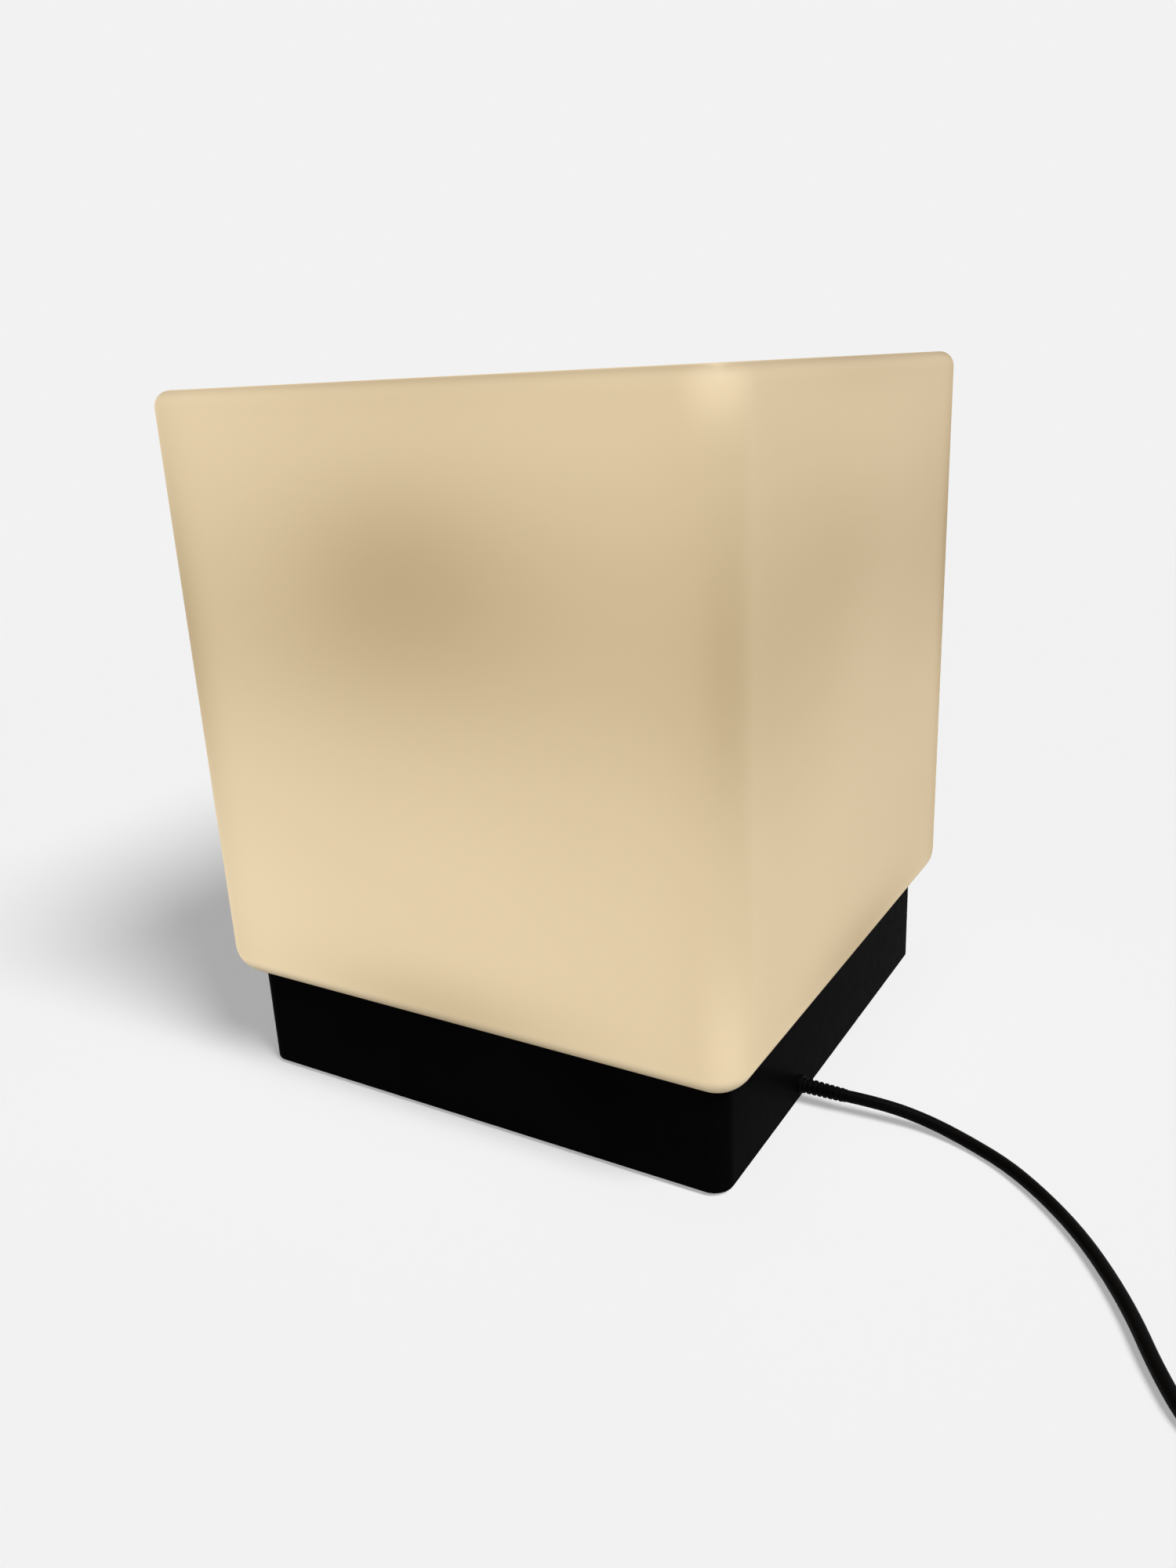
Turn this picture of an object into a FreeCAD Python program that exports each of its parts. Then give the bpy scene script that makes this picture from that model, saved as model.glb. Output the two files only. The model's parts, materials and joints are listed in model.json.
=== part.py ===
"""Opal cube table light: a hollow opal cube that lifts off a black base with an LED board on top.

Millimetres, +Z up. The origin is on the table under the middle of the base. The broad face in view is
the one towards -Y, and the mains lead leaves the base through its +X side.
"""

import FreeCAD, Part
import math
import os
import Sketcher

os.makedirs("parts", exist_ok=True)
doc = FreeCAD.newDocument("CubeLight")
Vector = FreeCAD.Vector

SIZES = {
    # the opal cube
    "shade_side": 250,  # outside width and depth
    "shade_height": 250,
    "shade_wall": 3,
    "shade_edge": 15,  # radius of the four upright edges
    "shade_roll": 14.5,  # radius of the rolled bottom edge
    "shade_crown": 6.5,  # radius round the top face
    "mouth_radius": 86,  # round opening in the bottom
    # the base
    "base_inset": 10.5,  # how far its sides stand back from the cube's
    "base_top": 45,  # height of its top face above the table
    "base_wall": 3,
    "base_edge": 8,  # radius of the upright edges
    "base_rim": 0.8,  # small round along the top and bottom edges
    "cover_thickness": 2.5,
    "cover_screw_setback": 9.5,  # from the base's inner faces
    "boss_radius": 4.5,
    "foot_radius": 8,
    "foot_stand": 1.5,  # how far the feet stand out below the base
    "foot_recess": 1,
    "foot_setback": 27.5,  # from the base's inner faces
    # fits
    "fit_gap": 0.3,  # round covers, feet and bushes in their openings
    "bite_gap": 0.05,  # round a screw or axle in its bore
    "overcut": 1,  # how far a cutter runs past what it cuts
    # seat and ring of the shade
    "gasket_thickness": 1,
    "gasket_width": 14,
    "gasket_setback": 3,  # from the mouth's edge
    "ring_gap": 2,  # from the ring to the mouth's edge
    "ring_wall": 2.5,
    "ring_height": 14,
    "ring_flange": 11.5,  # width of the ring's foot
    "pad_height": 5,
    "pad_sweep": 14,  # degrees round the ring
    # light source
    "plate_gap": 2.5,  # from the ring's foot to the heat plate
    "plate_thickness": 2,
    "board_thickness": 1.6,
    "chip_length": 3.5,
    "chip_width": 2.8,
    "chip_height": 0.8,
    "chip_setback": 27,  # from the board's edge to the outer ring of chips
    "inner_chip_radius": 14,
    "lid_setback": 4,  # from the heat plate's edge to the lid's flange
    "lid_gap": 2,  # from the board's edge to the clear lid
    "lid_wall": 1.5,
    "lid_height": 15.5,
    "lid_slope": 3.5,  # the lid's slanted shoulder
    "lid_flange": 8,
    "lid_screw_setback": 3,  # from the flange's edge
    "connector_side": 10,
    "connector_height": 4.2,
    # screws
    "screw_radius": 1.45,
    "head_radius": 2.7,
    "head_height": 1.7,
    "sink_head_radius": 3.2,
    "screw_bite": 7,  # length in the boss
    "short_bite": 1.4,  # length in a thin plate
    # driver
    "driver_length": 66,
    "driver_width": 40,
    "driver_height": 22,
    "driver_wall": 1.8,
    "ear_side": 9,
    "ear_thickness": 2.5,
    "standoff": 3,
    "driver_slack": 1,  # from the circuit board to the case
    "core_length": 20,  # the transformer's ferrite core
    "core_width": 8,
    "core_height": 11,
    "bobbin_length": 14,
    "bobbin_width": 16,
    "bobbin_height": 9,
    "capacitor_radius": 5,
    "capacitor_height": 11,
    "capacitor_at": 24,  # from the transformer
    # mains entry
    "cord_radius": 2.5,
    "cord_y": -39,
    "cord_z": 8,
    "relief_root": 3.3,
    "relief_tip": 2.8,
    "relief_length": 20,
    "relief_lip": 0.6,  # how far its inner lip and outer shoulder overlap the wall
    "lip_thickness": 1.5,
    "clamp_setback": 9.5,  # from the base's inner face
    "jacket_stub": 2,  # jacket left past the clamp
    "clamp_width": 8,
    "clamp_screw_at": 9,
    "clamp_height": 4,
    "core_reach": 12,  # from the driver to the terminal block
    "terminal_length": 16,
    "terminal_width": 17,
    "terminal_height": 12,
    "core_radius": 0.95,
    "core_pitch": 2.4,  # the two cores inside the jacket
    "pole_pitch": 8,
    "well_depth": 5,
    "terminal_screw_radius": 1.8,
    "terminal_screw_length": 4,
    "lead_setback": 5.6,  # from the board's edge to the middle of the leads' hole
    "lead_reach": 12,  # from the leads' hole to the driver
    "led_hole_radius": 4.5,
    "lead_pitch": 4,
    "lead_bend": 3,
    # in-line switch
    "switch_x": 338,
    "switch_y": -84,
    "switch_length": 60,
    "switch_width": 26,
    "switch_height": 18,
    "switch_wall": 2,
    "switch_corner": 9,
    "switch_round": 2.5,
    "rocker_length": 16,
    "rocker_width": 10,
    "rocker_depth": 4,  # below its axle
    "rocker_rise": 5.5,  # its ends above its axle
    "rocker_dip": 4.2,  # its middle above its axle
    "rocker_swing": 16,  # degrees from on to off
    "axle_height": 13,
    "axle_radius": 1.5,
    "rocker_gap": 0.5,
    "rocker_end_gap": 1,
    "cheek_thickness": 2.5,
    "post_radius": 3,
    "post_at": 22,
    "contact_side": 5,
    "contact_at": 11,
    "contact_height": 3.5,
    # the coil and its tie
    "coil_x": 306,
    "coil_y": 0,
    "coil_mean_radius": 26.5,
    "turn_gap": 0.5,  # from one turn to the next
    "tie_width": 5,
    "tie_thickness": 0.6,
    "tie_gap": 0.4,
    # plug
    "plug_x": 335,
    "plug_tail_y": 90,  # where the plug's body starts, past its strain relief
    "plug_length": 36,
    "plug_width": 35,
    "plug_tail_width": 15,
    "plug_slope": 14,
    "plug_thickness": 13.7,
    "plug_corner": 2.5,
    "plug_relief_root": 4.5,
    "plug_relief_length": 20,
    "pin_radius": 2,
    "pin_length": 19,
    "pin_pitch": 18.6,
}

COIL_LAYERS = 4  # they wind in and out by turns
LAYER_TURNS = 2
QUARTERS = 4  # quarter turns in a turn
LEAST_TURN_GAP = 0.4
RUN_SHARE = 0.45  # of the shorter run, taken by the bend at its end
END_SHARE = 0.3  # of the way from the switch to the coil, for each straight end
VOLUME_SLACK = 0.01
BOSS_DROP = 6  # how far the screw bosses hang below the base's top plate
BASE_SCREW_ANGLES = (45, 135, 225, 315)
LID_SCREW_ANGLES = (90, 210, 330)
LEAD_ANGLE = 230
BOARD_SCREW_ANGLES = (30, 150, 270)
PAD_ANGLES = (0, 120, 240)
CORNERS = ((1, 1), (-1, 1), (-1, -1), (1, -1))
OUTER_CHIPS = 16
INNER_CHIPS = 8

sheet = doc.addObject("Spreadsheet::Sheet", "Sizes")
for row, (name, number) in enumerate(SIZES.items(), 1):
    sheet.set(f"A{row}", str(number))
    sheet.setAlias(f"A{row}", name)
doc.recompute()


class Size:
    """A size with the text that gives it from the sheet, so that one line of arithmetic makes both."""

    def __init__(self, number, text):
        self.number = float(number)
        self.text = text

    def __float__(self):
        return self.number

    def __neg__(self):
        return 0 - self

    def __add__(self, other):
        return Size(self.number + float(other), f"({self.text} + {text_of(other)})")

    def __radd__(self, other):
        return Size(float(other) + self.number, f"({text_of(other)} + {self.text})")

    def __sub__(self, other):
        return Size(self.number - float(other), f"({self.text} - {text_of(other)})")

    def __rsub__(self, other):
        return Size(float(other) - self.number, f"({text_of(other)} - {self.text})")

    def __mul__(self, other):
        return Size(self.number * float(other), f"({self.text} * {text_of(other)})")

    def __rmul__(self, other):
        return Size(float(other) * self.number, f"({text_of(other)} * {self.text})")

    def __truediv__(self, other):
        return Size(self.number / float(other), f"({self.text} / {text_of(other)})")


class Sheet:
    """The sheet's sizes by name."""

    def __getattr__(self, name):
        return Size(sheet.get(name), f"Sizes.{name}")


def text_of(size):
    return size.text if isinstance(size, Size) else repr(float(size))


def polar(radius, degrees):
    return radius * math.cos(math.radians(degrees)), radius * math.sin(math.radians(degrees))


s = Sheet()

# ---------------------------------------------------------------- places that several pieces share
base_low = s.foot_stand
cover_top = base_low + s.cover_thickness
plate_under = s.base_top - s.base_wall
shade_low = s.base_top + s.gasket_thickness
base_side = s.shade_side - 2 * s.base_inset
inner_side = base_side - 2 * s.base_wall
cover_screw_at = inner_side / 2 - s.cover_screw_setback
foot_at = inner_side / 2 - s.foot_setback
ring_radius = s.mouth_radius - s.ring_gap
ring_screw_radius = ring_radius - (s.ring_flange + s.ring_wall) / 2
plate_radius = ring_radius - s.ring_flange - s.plate_gap
heat_top = s.base_top + s.plate_thickness
board_top = heat_top + s.board_thickness
lid_edge = plate_radius - s.lid_setback
lid_inner = lid_edge - s.lid_flange
lid_screw_radius = lid_edge - s.lid_screw_setback
board_radius = lid_inner - s.lid_gap
board_screw_radius = board_radius - 2 * s.head_radius
outer_chip_radius = board_radius - s.chip_setback
led_hole_x, lead_y = polar(board_radius - s.lead_setback, LEAD_ANGLE)
connector_left = led_hole_x + s.led_hole_radius + s.ring_gap
driver_top = cover_top + s.driver_height
board_low = cover_top + s.driver_wall + s.standoff
parts_low = board_low + s.board_thickness  # where the driver's components stand
driver_left = led_hole_x + s.lead_reach
driver_right = driver_left + s.driver_length
driver_x = driver_left + s.driver_length / 2
terminal_left = driver_right + s.core_reach
terminal_right = terminal_left + s.terminal_length
terminal_x = terminal_left + s.terminal_length / 2
clamp_x = inner_side / 2 - s.clamp_setback
jacket_end = clamp_x - s.clamp_width / 2 - s.jacket_stub
relief_end = base_side / 2 + s.relief_length
switch_near = s.switch_y - s.switch_length / 2
switch_far = s.switch_y + s.switch_length / 2
switch_axis = s.switch_height / 2  # where its halves meet, and the cord's axis in it
turn_pitch = 2 * s.cord_radius + s.turn_gap
coil_outer = s.coil_mean_radius + LAYER_TURNS * turn_pitch / 2
coil_inner = s.coil_mean_radius - LAYER_TURNS * turn_pitch / 2
coil_low = s.tie_thickness + s.tie_gap + s.cord_radius  # the lowest turn's centre
coil_high = coil_low + (COIL_LAYERS - 1) * turn_pitch
plug_axis = s.plug_thickness / 2
plug_face = s.plug_tail_y + s.plug_length


# ---------------------------------------------------------------- tools for making pieces
def bind(thing, prop, size):
    thing.setExpression(prop, text_of(size))


def put(thing, x=0, y=0, z=0):
    for axis, size in zip("xyz", (x, y, z)):
        bind(thing, f"Placement.Base.{axis}", size)
    return thing


def turn(thing, axis, angle):
    thing.Placement = FreeCAD.Placement(Vector(), FreeCAD.Rotation(axis, angle))
    return thing


def make(kind, name, **sizes):
    thing = doc.addObject(kind, name)
    for prop, size in sizes.items():
        bind(thing, prop, size)
    return thing


def box(name, length, width, height, x=0, y=0, z=0):
    """A box with its middle over x, y and its underside at z."""
    made = make("Part::Box", name, Length=length, Width=width, Height=height)
    return put(made, x - length / 2, y - width / 2, z)


AXES = {"z": (Vector(0, 0, 1), 0), "x": (Vector(0, 1, 0), 90), "y": (Vector(1, 0, 0), -90)}


def rod(name, radius, length, x=0, y=0, z=0, along="z"):
    """A cylinder that runs from the point x, y, z in the + direction of an axis."""
    made = turn(make("Part::Cylinder", name, Radius=radius, Height=length), *AXES[along])
    return put(made, x, y, z)


def taper(name, start_radius, end_radius, length, x=0, y=0, z=0, along="z"):
    made = make("Part::Cone", name, Radius1=start_radius, Radius2=end_radius, Height=length)
    return put(turn(made, *AXES[along]), x, y, z)


def fuse(name, *things):
    made = doc.addObject("Part::MultiFuse", name)
    made.Shapes = list(things)
    return made


def group(name, things):
    """Separate solids of one kind that share a node."""
    made = doc.addObject("Part::Compound", name)
    made.Links = list(things)
    return made


def cut(name, base, *tools):
    made = doc.addObject("Part::Cut", name)
    made.Base = base
    made.Tool = tools[0] if len(tools) == 1 else group(f"{name}_tools", tools)
    return made


def outline(body, plane, corners):
    """A closed sketch of straight lines on one of the body's planes, each corner held by the sheet."""
    sketch = body.newObject("Sketcher::SketchObject", f"{body.Name}_outline")
    origin = [o for o in body.Origin.OriginFeatures if o.Role == plane]
    sketch.AttachmentSupport = [(origin[0], "")]
    sketch.MapMode = "FlatFace"
    points = [Vector(float(a), float(b), 0) for a, b in corners]
    count = len(points)
    for i in range(count):
        sketch.addGeometry(Part.LineSegment(points[i], points[(i + 1) % count]))
    for i in range(count):
        sketch.addConstraint(Sketcher.Constraint("Coincident", i, 2, (i + 1) % count, 1))
    for i, corner in enumerate(corners):
        for kind, size in zip(("DistanceX", "DistanceY"), corner):
            held = sketch.addConstraint(Sketcher.Constraint(kind, -1, 1, i, 1, float(size)))
            name = f"{kind}{i}"
            sketch.renameConstraint(held, name)
            if isinstance(size, Size):
                bind(sketch, f"Constraints.{name}", size)
    return sketch


def rectangle(length, width):
    return [(a * length / 2, b * width / 2) for a, b in ((-1, -1), (1, -1), (1, 1), (-1, 1))]


def pad(body, sketch, length, midplane=False):
    made = body.newObject("PartDesign::Pad", f"{body.Name}_pad")
    made.Profile = sketch
    bind(made, "Length", length)
    if midplane:
        made.Midplane = True
    return made


def revolved(name, corners):
    """A body turned round Z from an outline given as radius, height."""
    body = doc.addObject("PartDesign::Body", name)
    sketch = outline(body, "XZ_Plane", corners)
    made = body.newObject("PartDesign::Revolution", f"{name}_turned")
    made.Profile = sketch
    made.ReferenceAxis = (sketch, ["V_Axis"])
    made.Angle = 360
    return body


def round_edges(body, radius, chosen):
    """Rounds the edges of the body's last feature that chosen picks."""
    doc.recompute()
    last = body.Tip
    names = [f"Edge{i}" for i, edge in enumerate(last.Shape.Edges, 1) if chosen(edge)]
    made = body.newObject("PartDesign::Fillet", f"{body.Name}_round")
    made.Base = (last, names)
    bind(made, "Radius", radius)
    return made


def upright(edge):
    low, high = edge.BoundBox.ZMin, edge.BoundBox.ZMax
    return high - low > 0.99 * edge.Length


def level_at(height):
    return lambda edge: max(abs(edge.BoundBox.ZMin - height), abs(edge.BoundBox.ZMax - height)) < 0.001


def moulded_block(name, length, width, height, corner, bottom=None, top=None, x=0, y=0, z=0):
    """A block with rounded upright edges and, where asked, a rounded bottom and top."""
    body = doc.addObject("PartDesign::Body", name)
    pad(body, outline(body, "XY_Plane", rectangle(length, width)), height)
    round_edges(body, corner, upright)
    if bottom is not None:
        round_edges(body, bottom, level_at(0))
    if top is not None:
        round_edges(body, top, level_at(float(height)))
    return put(body, x, y, z)


def screw(name, x, y, head_low, shank_length):
    """A pan-head screw driven downwards, with its head's underside at head_low."""
    head = rod(f"{name}_head", s.head_radius, s.head_height, x, y, head_low)
    shank = rod(f"{name}_shank", s.screw_radius, shank_length, x, y, head_low - shank_length)
    return fuse(name, head, shank)


def sunk_screw(name, x, y, face, shank_length):
    """A countersunk screw driven upwards, flush with the face that it goes in through."""
    depth = s.sink_head_radius - s.screw_radius
    head = taper(f"{name}_head", s.sink_head_radius, s.screw_radius, depth, x, y, face)
    shank = rod(f"{name}_shank", s.screw_radius, shank_length - depth, x, y, face + depth)
    return fuse(name, head, shank)


def sunk_hole(name, x, y, face, thickness):
    """The countersink and through hole for a sunk screw."""
    depth = s.sink_head_radius - s.screw_radius
    cone = taper(
        f"{name}_sink", s.sink_head_radius + s.bite_gap, s.screw_radius + s.bite_gap, depth, x, y, face
    )
    hole = rod(f"{name}_hole", s.screw_radius + s.bite_gap, thickness + s.overcut, x, y, face)
    return fuse(name, cone, hole)


def shape_node(name, shape):
    """A node whose shape no feature makes from a sketch or a primitive: a bent wire or a wound cord."""
    made = doc.addObject("Part::Feature", name)
    made.Shape = shape
    return made


# ---------------------------------------------------------------- bent tubes
def bent_wire(points, bend=None, told=None):
    """Straight runs joined by tangent arcs: of radius bend, or as large as the runs allow."""
    points = [Vector(*map(float, p)) for p in points]
    edges, start, radii = [], points[0], []
    for before, here, after in zip(points, points[1:], points[2:]):
        arriving, leaving = (here - before), (after - here)
        half = arriving.getAngle(leaving) / 2
        shorter = min(arriving.Length, leaving.Length)
        radius = bend or RUN_SHARE * shorter / math.tan(half)
        arriving.normalize()
        leaving.normalize()
        reach = radius * math.tan(half)
        bend_start = here - arriving * reach
        bend_end = here + leaving * reach
        inward = leaving - arriving
        inward.normalize()
        middle = here + inward * (radius / math.cos(half) - radius)
        edges.append(Part.LineSegment(start, bend_start).toShape())
        edges.append(Part.Arc(bend_start, middle, bend_end).toShape())
        start = bend_end
        radii.append(radius)
    edges.append(Part.LineSegment(start, points[-1]).toShape())
    if told:
        print(f"{told}: bend radii {', '.join(f'{r:.1f}' for r in radii)} mm")
    return edges


def swept(edges, radius, told=None):
    """A round tube along the edges, whose volume has to be its section times its length."""
    path = Part.Wire(edges)
    start = edges[0].valueAt(edges[0].FirstParameter)
    heading = edges[0].tangentAt(edges[0].FirstParameter)
    ring = Part.Wire([Part.makeCircle(float(radius), start, heading)])
    tube = path.makePipeShell([ring], True, False)
    expected = math.pi * float(radius) ** 2 * path.Length
    if abs(tube.Volume / expected - 1) > VOLUME_SLACK:
        raise ValueError(f"{told}: volume {tube.Volume:.1f}, section times length {expected:.1f}")
    if told:
        print(f"{told}: length {path.Length:.1f} mm")
    return tube


def tube(name, points, radius, bend=None, told=None):
    return shape_node(name, swept(bent_wire(points, bend, told), radius, told))


# ---------------------------------------------------------------- the shade and its seat
def make_shade():
    wall = s.shade_wall
    outer = moulded_block(
        "shade_outside", s.shade_side, s.shade_side, s.shade_height,
        s.shade_edge, s.shade_roll, s.shade_crown, z=shade_low,
    )
    inner = moulded_block(
        "shade_inside", s.shade_side - 2 * wall, s.shade_side - 2 * wall, s.shade_height - 2 * wall,
        s.shade_edge - wall, s.shade_roll - wall, s.shade_crown - wall, z=shade_low + wall,
    )
    mouth = rod("shade_mouth", s.mouth_radius, wall + 2 * s.overcut, z=shade_low - s.overcut)
    return cut("shade", outer, inner, mouth)


def make_shade_gasket():
    inside = s.mouth_radius + s.gasket_setback
    disc = rod("gasket_disc", inside + s.gasket_width, s.gasket_thickness, z=s.base_top)
    hole = rod("gasket_hole", inside, s.gasket_thickness + 2 * s.overcut, z=s.base_top - s.overcut)
    return cut("shade_gasket", disc, hole)


def make_shade_ring():
    """An upright ring on a flat foot, with a slanted lead-in at its top."""
    slant = s.ring_wall / 2
    inside = ring_radius - s.ring_wall
    ring = revolved("ring_turning", [
        (ring_radius - s.ring_flange, 0),
        (ring_radius, 0),
        (ring_radius, s.ring_height - slant),
        (ring_radius - slant, s.ring_height),
        (inside, s.ring_height),
        (inside, s.ring_wall),
        (ring_radius - s.ring_flange, s.ring_wall),
    ])
    put(ring, z=s.base_top)
    holes = [
        rod(f"ring_hole_{angle}", s.screw_radius + s.fit_gap, s.ring_wall + 2 * s.overcut,
            *polar(ring_screw_radius, angle), s.base_top - s.overcut)
        for angle in BASE_SCREW_ANGLES
    ]
    return cut("shade_ring", ring, *holes)


def make_ring_pads():
    """Three soft pads glued round the ring, which keep the shade from rattling."""
    low = shade_low + s.shade_wall / 2 - s.pad_height / 2 + s.fit_gap
    made = []
    for angle in PAD_ANGLES:
        wedge = make(
            "Part::Cylinder", f"pad_wedge_{angle}",
            Radius=s.mouth_radius - s.fit_gap, Height=s.pad_height, Angle=s.pad_sweep,
        )
        put(turn(wedge, Vector(0, 0, 1), angle), z=low)
        core = rod(f"pad_core_{angle}", ring_radius, s.pad_height + 2 * s.overcut, z=low - s.overcut)
        made.append(cut(f"ring_pad_{angle}", wedge, core))
    return group("ring_pads", made)


def make_ring_screws():
    low = s.base_top + s.ring_wall
    return group("ring_screws", [
        screw(f"ring_screw_{a}", *polar(ring_screw_radius, a), low, s.ring_wall + s.screw_bite)
        for a in BASE_SCREW_ANGLES
    ])


# ---------------------------------------------------------------- the light source
def lead_hole(name, low, height):
    return rod(name, s.led_hole_radius, height + 2 * s.overcut, led_hole_x, lead_y, low - s.overcut)


def make_heat_plate():
    disc = rod("plate_disc", plate_radius, s.plate_thickness, z=s.base_top)
    through = s.plate_thickness + 2 * s.overcut
    low = s.base_top - s.overcut
    holes = [
        rod(f"plate_hole_{a}", s.screw_radius + s.fit_gap, through, *polar(lid_screw_radius, a), low)
        for a in LID_SCREW_ANGLES
    ]
    holes += [
        rod(f"plate_thread_{a}", s.screw_radius + s.bite_gap, through, *polar(board_screw_radius, a), low)
        for a in BOARD_SCREW_ANGLES
    ]
    return cut("heat_plate", disc, lead_hole("plate_lead_hole", s.base_top, s.plate_thickness), *holes)


def make_led_board():
    disc = rod("board_disc", board_radius, s.board_thickness, z=heat_top)
    holes = [
        rod(f"board_hole_{a}", s.screw_radius + s.fit_gap, s.board_thickness + 2 * s.overcut,
            *polar(board_screw_radius, a), heat_top - s.overcut)
        for a in BOARD_SCREW_ANGLES
    ]
    return cut("led_board", disc, lead_hole("board_lead_hole", heat_top, s.board_thickness), *holes)


def make_board_screws():
    length = s.board_thickness + s.short_bite
    return group("board_screws", [
        screw(f"board_screw_{a}", *polar(board_screw_radius, a), board_top, length)
        for a in BOARD_SCREW_ANGLES
    ])


def make_led_chips():
    """Two rings of LED packages, each turned to face the middle of the board."""
    made = []
    for count, radius in ((OUTER_CHIPS, outer_chip_radius), (INNER_CHIPS, s.inner_chip_radius)):
        for i in range(count):
            angle = 360 * i / count
            chip = make(
                "Part::Box", f"chip_{count}_{i}",
                Length=s.chip_width, Width=s.chip_length, Height=s.chip_height,
            )
            turn(chip, Vector(0, 0, 1), angle)
            along, aside = polar(1, angle)
            in_edge = radius - s.chip_width / 2
            half = s.chip_length / 2
            put(chip, in_edge * along + half * aside, in_edge * aside - half * along, board_top)
            made.append(chip)
    return group("led_chips", made)


def make_board_connector():
    side = s.connector_side
    middle = connector_left + side / 2
    return box("board_connector", side, side, s.connector_height, middle, lead_y, board_top)


def make_led_cover():
    """A clear lid with a flange and a slanted shoulder."""
    wall = s.lid_wall
    outer = lid_inner + wall
    lid = revolved("lid_turning", [
        (0, s.lid_height - wall),
        (lid_inner - s.lid_slope, s.lid_height - wall),
        (lid_inner, s.lid_height - wall - s.lid_slope),
        (lid_inner, 0),
        (lid_edge, 0),
        (lid_edge, wall),
        (outer, wall),
        (outer, s.lid_height - s.lid_slope),
        (outer - s.lid_slope, s.lid_height),
        (0, s.lid_height),
    ])
    put(lid, z=heat_top)
    holes = [
        rod(f"lid_hole_{a}", s.screw_radius + s.fit_gap, wall + 2 * s.overcut,
            *polar(lid_screw_radius, a), heat_top - s.overcut)
        for a in LID_SCREW_ANGLES
    ]
    return cut("led_cover", lid, *holes)


def make_led_cover_screws():
    """They go through the lid and the heat plate into the base."""
    length = s.lid_wall + s.plate_thickness + s.screw_bite
    return group("led_cover_screws", [
        screw(f"lid_screw_{a}", *polar(lid_screw_radius, a), heat_top + s.lid_wall, length)
        for a in LID_SCREW_ANGLES
    ])


# ---------------------------------------------------------------- the base
def make_base_housing():
    outer = moulded_block(
        "housing_outside", base_side, base_side, s.base_top - base_low,
        s.base_edge, s.base_rim, s.base_rim, z=base_low,
    )
    inner = moulded_block(
        "housing_inside", inner_side, inner_side, plate_under - base_low + s.overcut,
        s.base_edge - s.base_wall, z=base_low - s.overcut,
    )
    shell = cut("housing_shell", outer, inner)
    at = cover_screw_at
    bosses, bores = [], []
    for i, (a, b) in enumerate(CORNERS):
        height = plate_under - cover_top
        bosses.append(rod(f"corner_boss_{i}", s.boss_radius, height, a * at, b * at, cover_top))
        bores.append(rod(
            f"corner_bore_{i}", s.screw_radius + s.bite_gap, s.screw_bite + s.overcut,
            a * at, b * at, cover_top,
        ))
    top_places = [polar(ring_screw_radius, a) for a in BASE_SCREW_ANGLES]
    top_places += [polar(lid_screw_radius, a) for a in LID_SCREW_ANGLES]
    for i, place in enumerate(top_places):
        drop = plate_under - BOSS_DROP
        bosses.append(rod(f"top_boss_{i}", s.boss_radius, BOSS_DROP, *place, drop))
        deep = s.screw_bite + s.fit_gap
        bores.append(rod(
            f"top_bore_{i}", s.screw_radius + s.bite_gap, deep + s.overcut, *place, s.base_top - deep
        ))
    solid = fuse("housing_solid", shell, *bosses)
    neck = rod(
        "relief_opening", s.relief_root + s.bite_gap, s.base_wall + 2 * s.overcut,
        inner_side / 2 - s.overcut, s.cord_y, s.cord_z, "x",
    )
    return cut("base_housing", solid, neck, lead_hole("top_lead_hole", plate_under, s.base_wall), *bores)


ear_at = s.driver_width / 2 + s.ear_side / 2
driver_ears = ((1, "back"), (-1, "front"))


def make_bottom_cover():
    """A plate with countersinks, foot recesses and the saddle that the mains lead lies on."""
    side = inner_side - 2 * s.fit_gap
    plate = moulded_block(
        "cover_plate", side, side, s.cover_thickness, s.base_edge - s.base_wall - s.fit_gap, z=base_low
    )
    posts = [
        rod(f"clamp_post_{k}", s.boss_radius - 1, s.cord_z - cover_top,
            clamp_x, s.cord_y + k * s.clamp_screw_at, cover_top)
        for k in (-1, 1)
    ]
    saddle = box(
        "clamp_saddle", s.clamp_width, 2 * s.cord_radius, s.cord_z - s.cord_radius - cover_top,
        clamp_x, s.cord_y, cover_top,
    )
    solid = fuse("cover_solid", plate, saddle, *posts)
    at = cover_screw_at
    cutters = [
        sunk_hole(f"cover_hole_{i}", a * at, b * at, base_low, s.cover_thickness)
        for i, (a, b) in enumerate(CORNERS)
    ]
    cutters += [
        rod(f"foot_recess_{i}", s.foot_radius + s.bite_gap, s.foot_recess + s.overcut,
            a * foot_at, b * foot_at, base_low - s.overcut)
        for i, (a, b) in enumerate(CORNERS)
    ]
    clamp_deep = s.cord_z - cover_top
    cutters += [
        rod(f"clamp_bore_{k}", s.screw_radius + s.bite_gap, clamp_deep + s.overcut,
            clamp_x, s.cord_y + k * s.clamp_screw_at, cover_top)
        for k in (-1, 1)
    ]
    cutters += [
        rod(f"ear_bore_{word}", s.screw_radius + s.bite_gap, s.short_bite + s.overcut,
            driver_x, s.cord_y + k * ear_at, cover_top - s.short_bite)
        for k, word in driver_ears
    ]
    return cut("bottom_cover", solid, *cutters)


def make_bottom_screws():
    at = cover_screw_at
    return group("bottom_screws", [
        sunk_screw(f"bottom_screw_{i}", a * at, b * at, base_low, s.cover_thickness + s.screw_bite)
        for i, (a, b) in enumerate(CORNERS)
    ])


def make_rubber_feet():
    return group("rubber_feet", [
        rod(f"foot_{i}", s.foot_radius, s.foot_stand + s.foot_recess, a * foot_at, b * foot_at)
        for i, (a, b) in enumerate(CORNERS)
    ])


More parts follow.
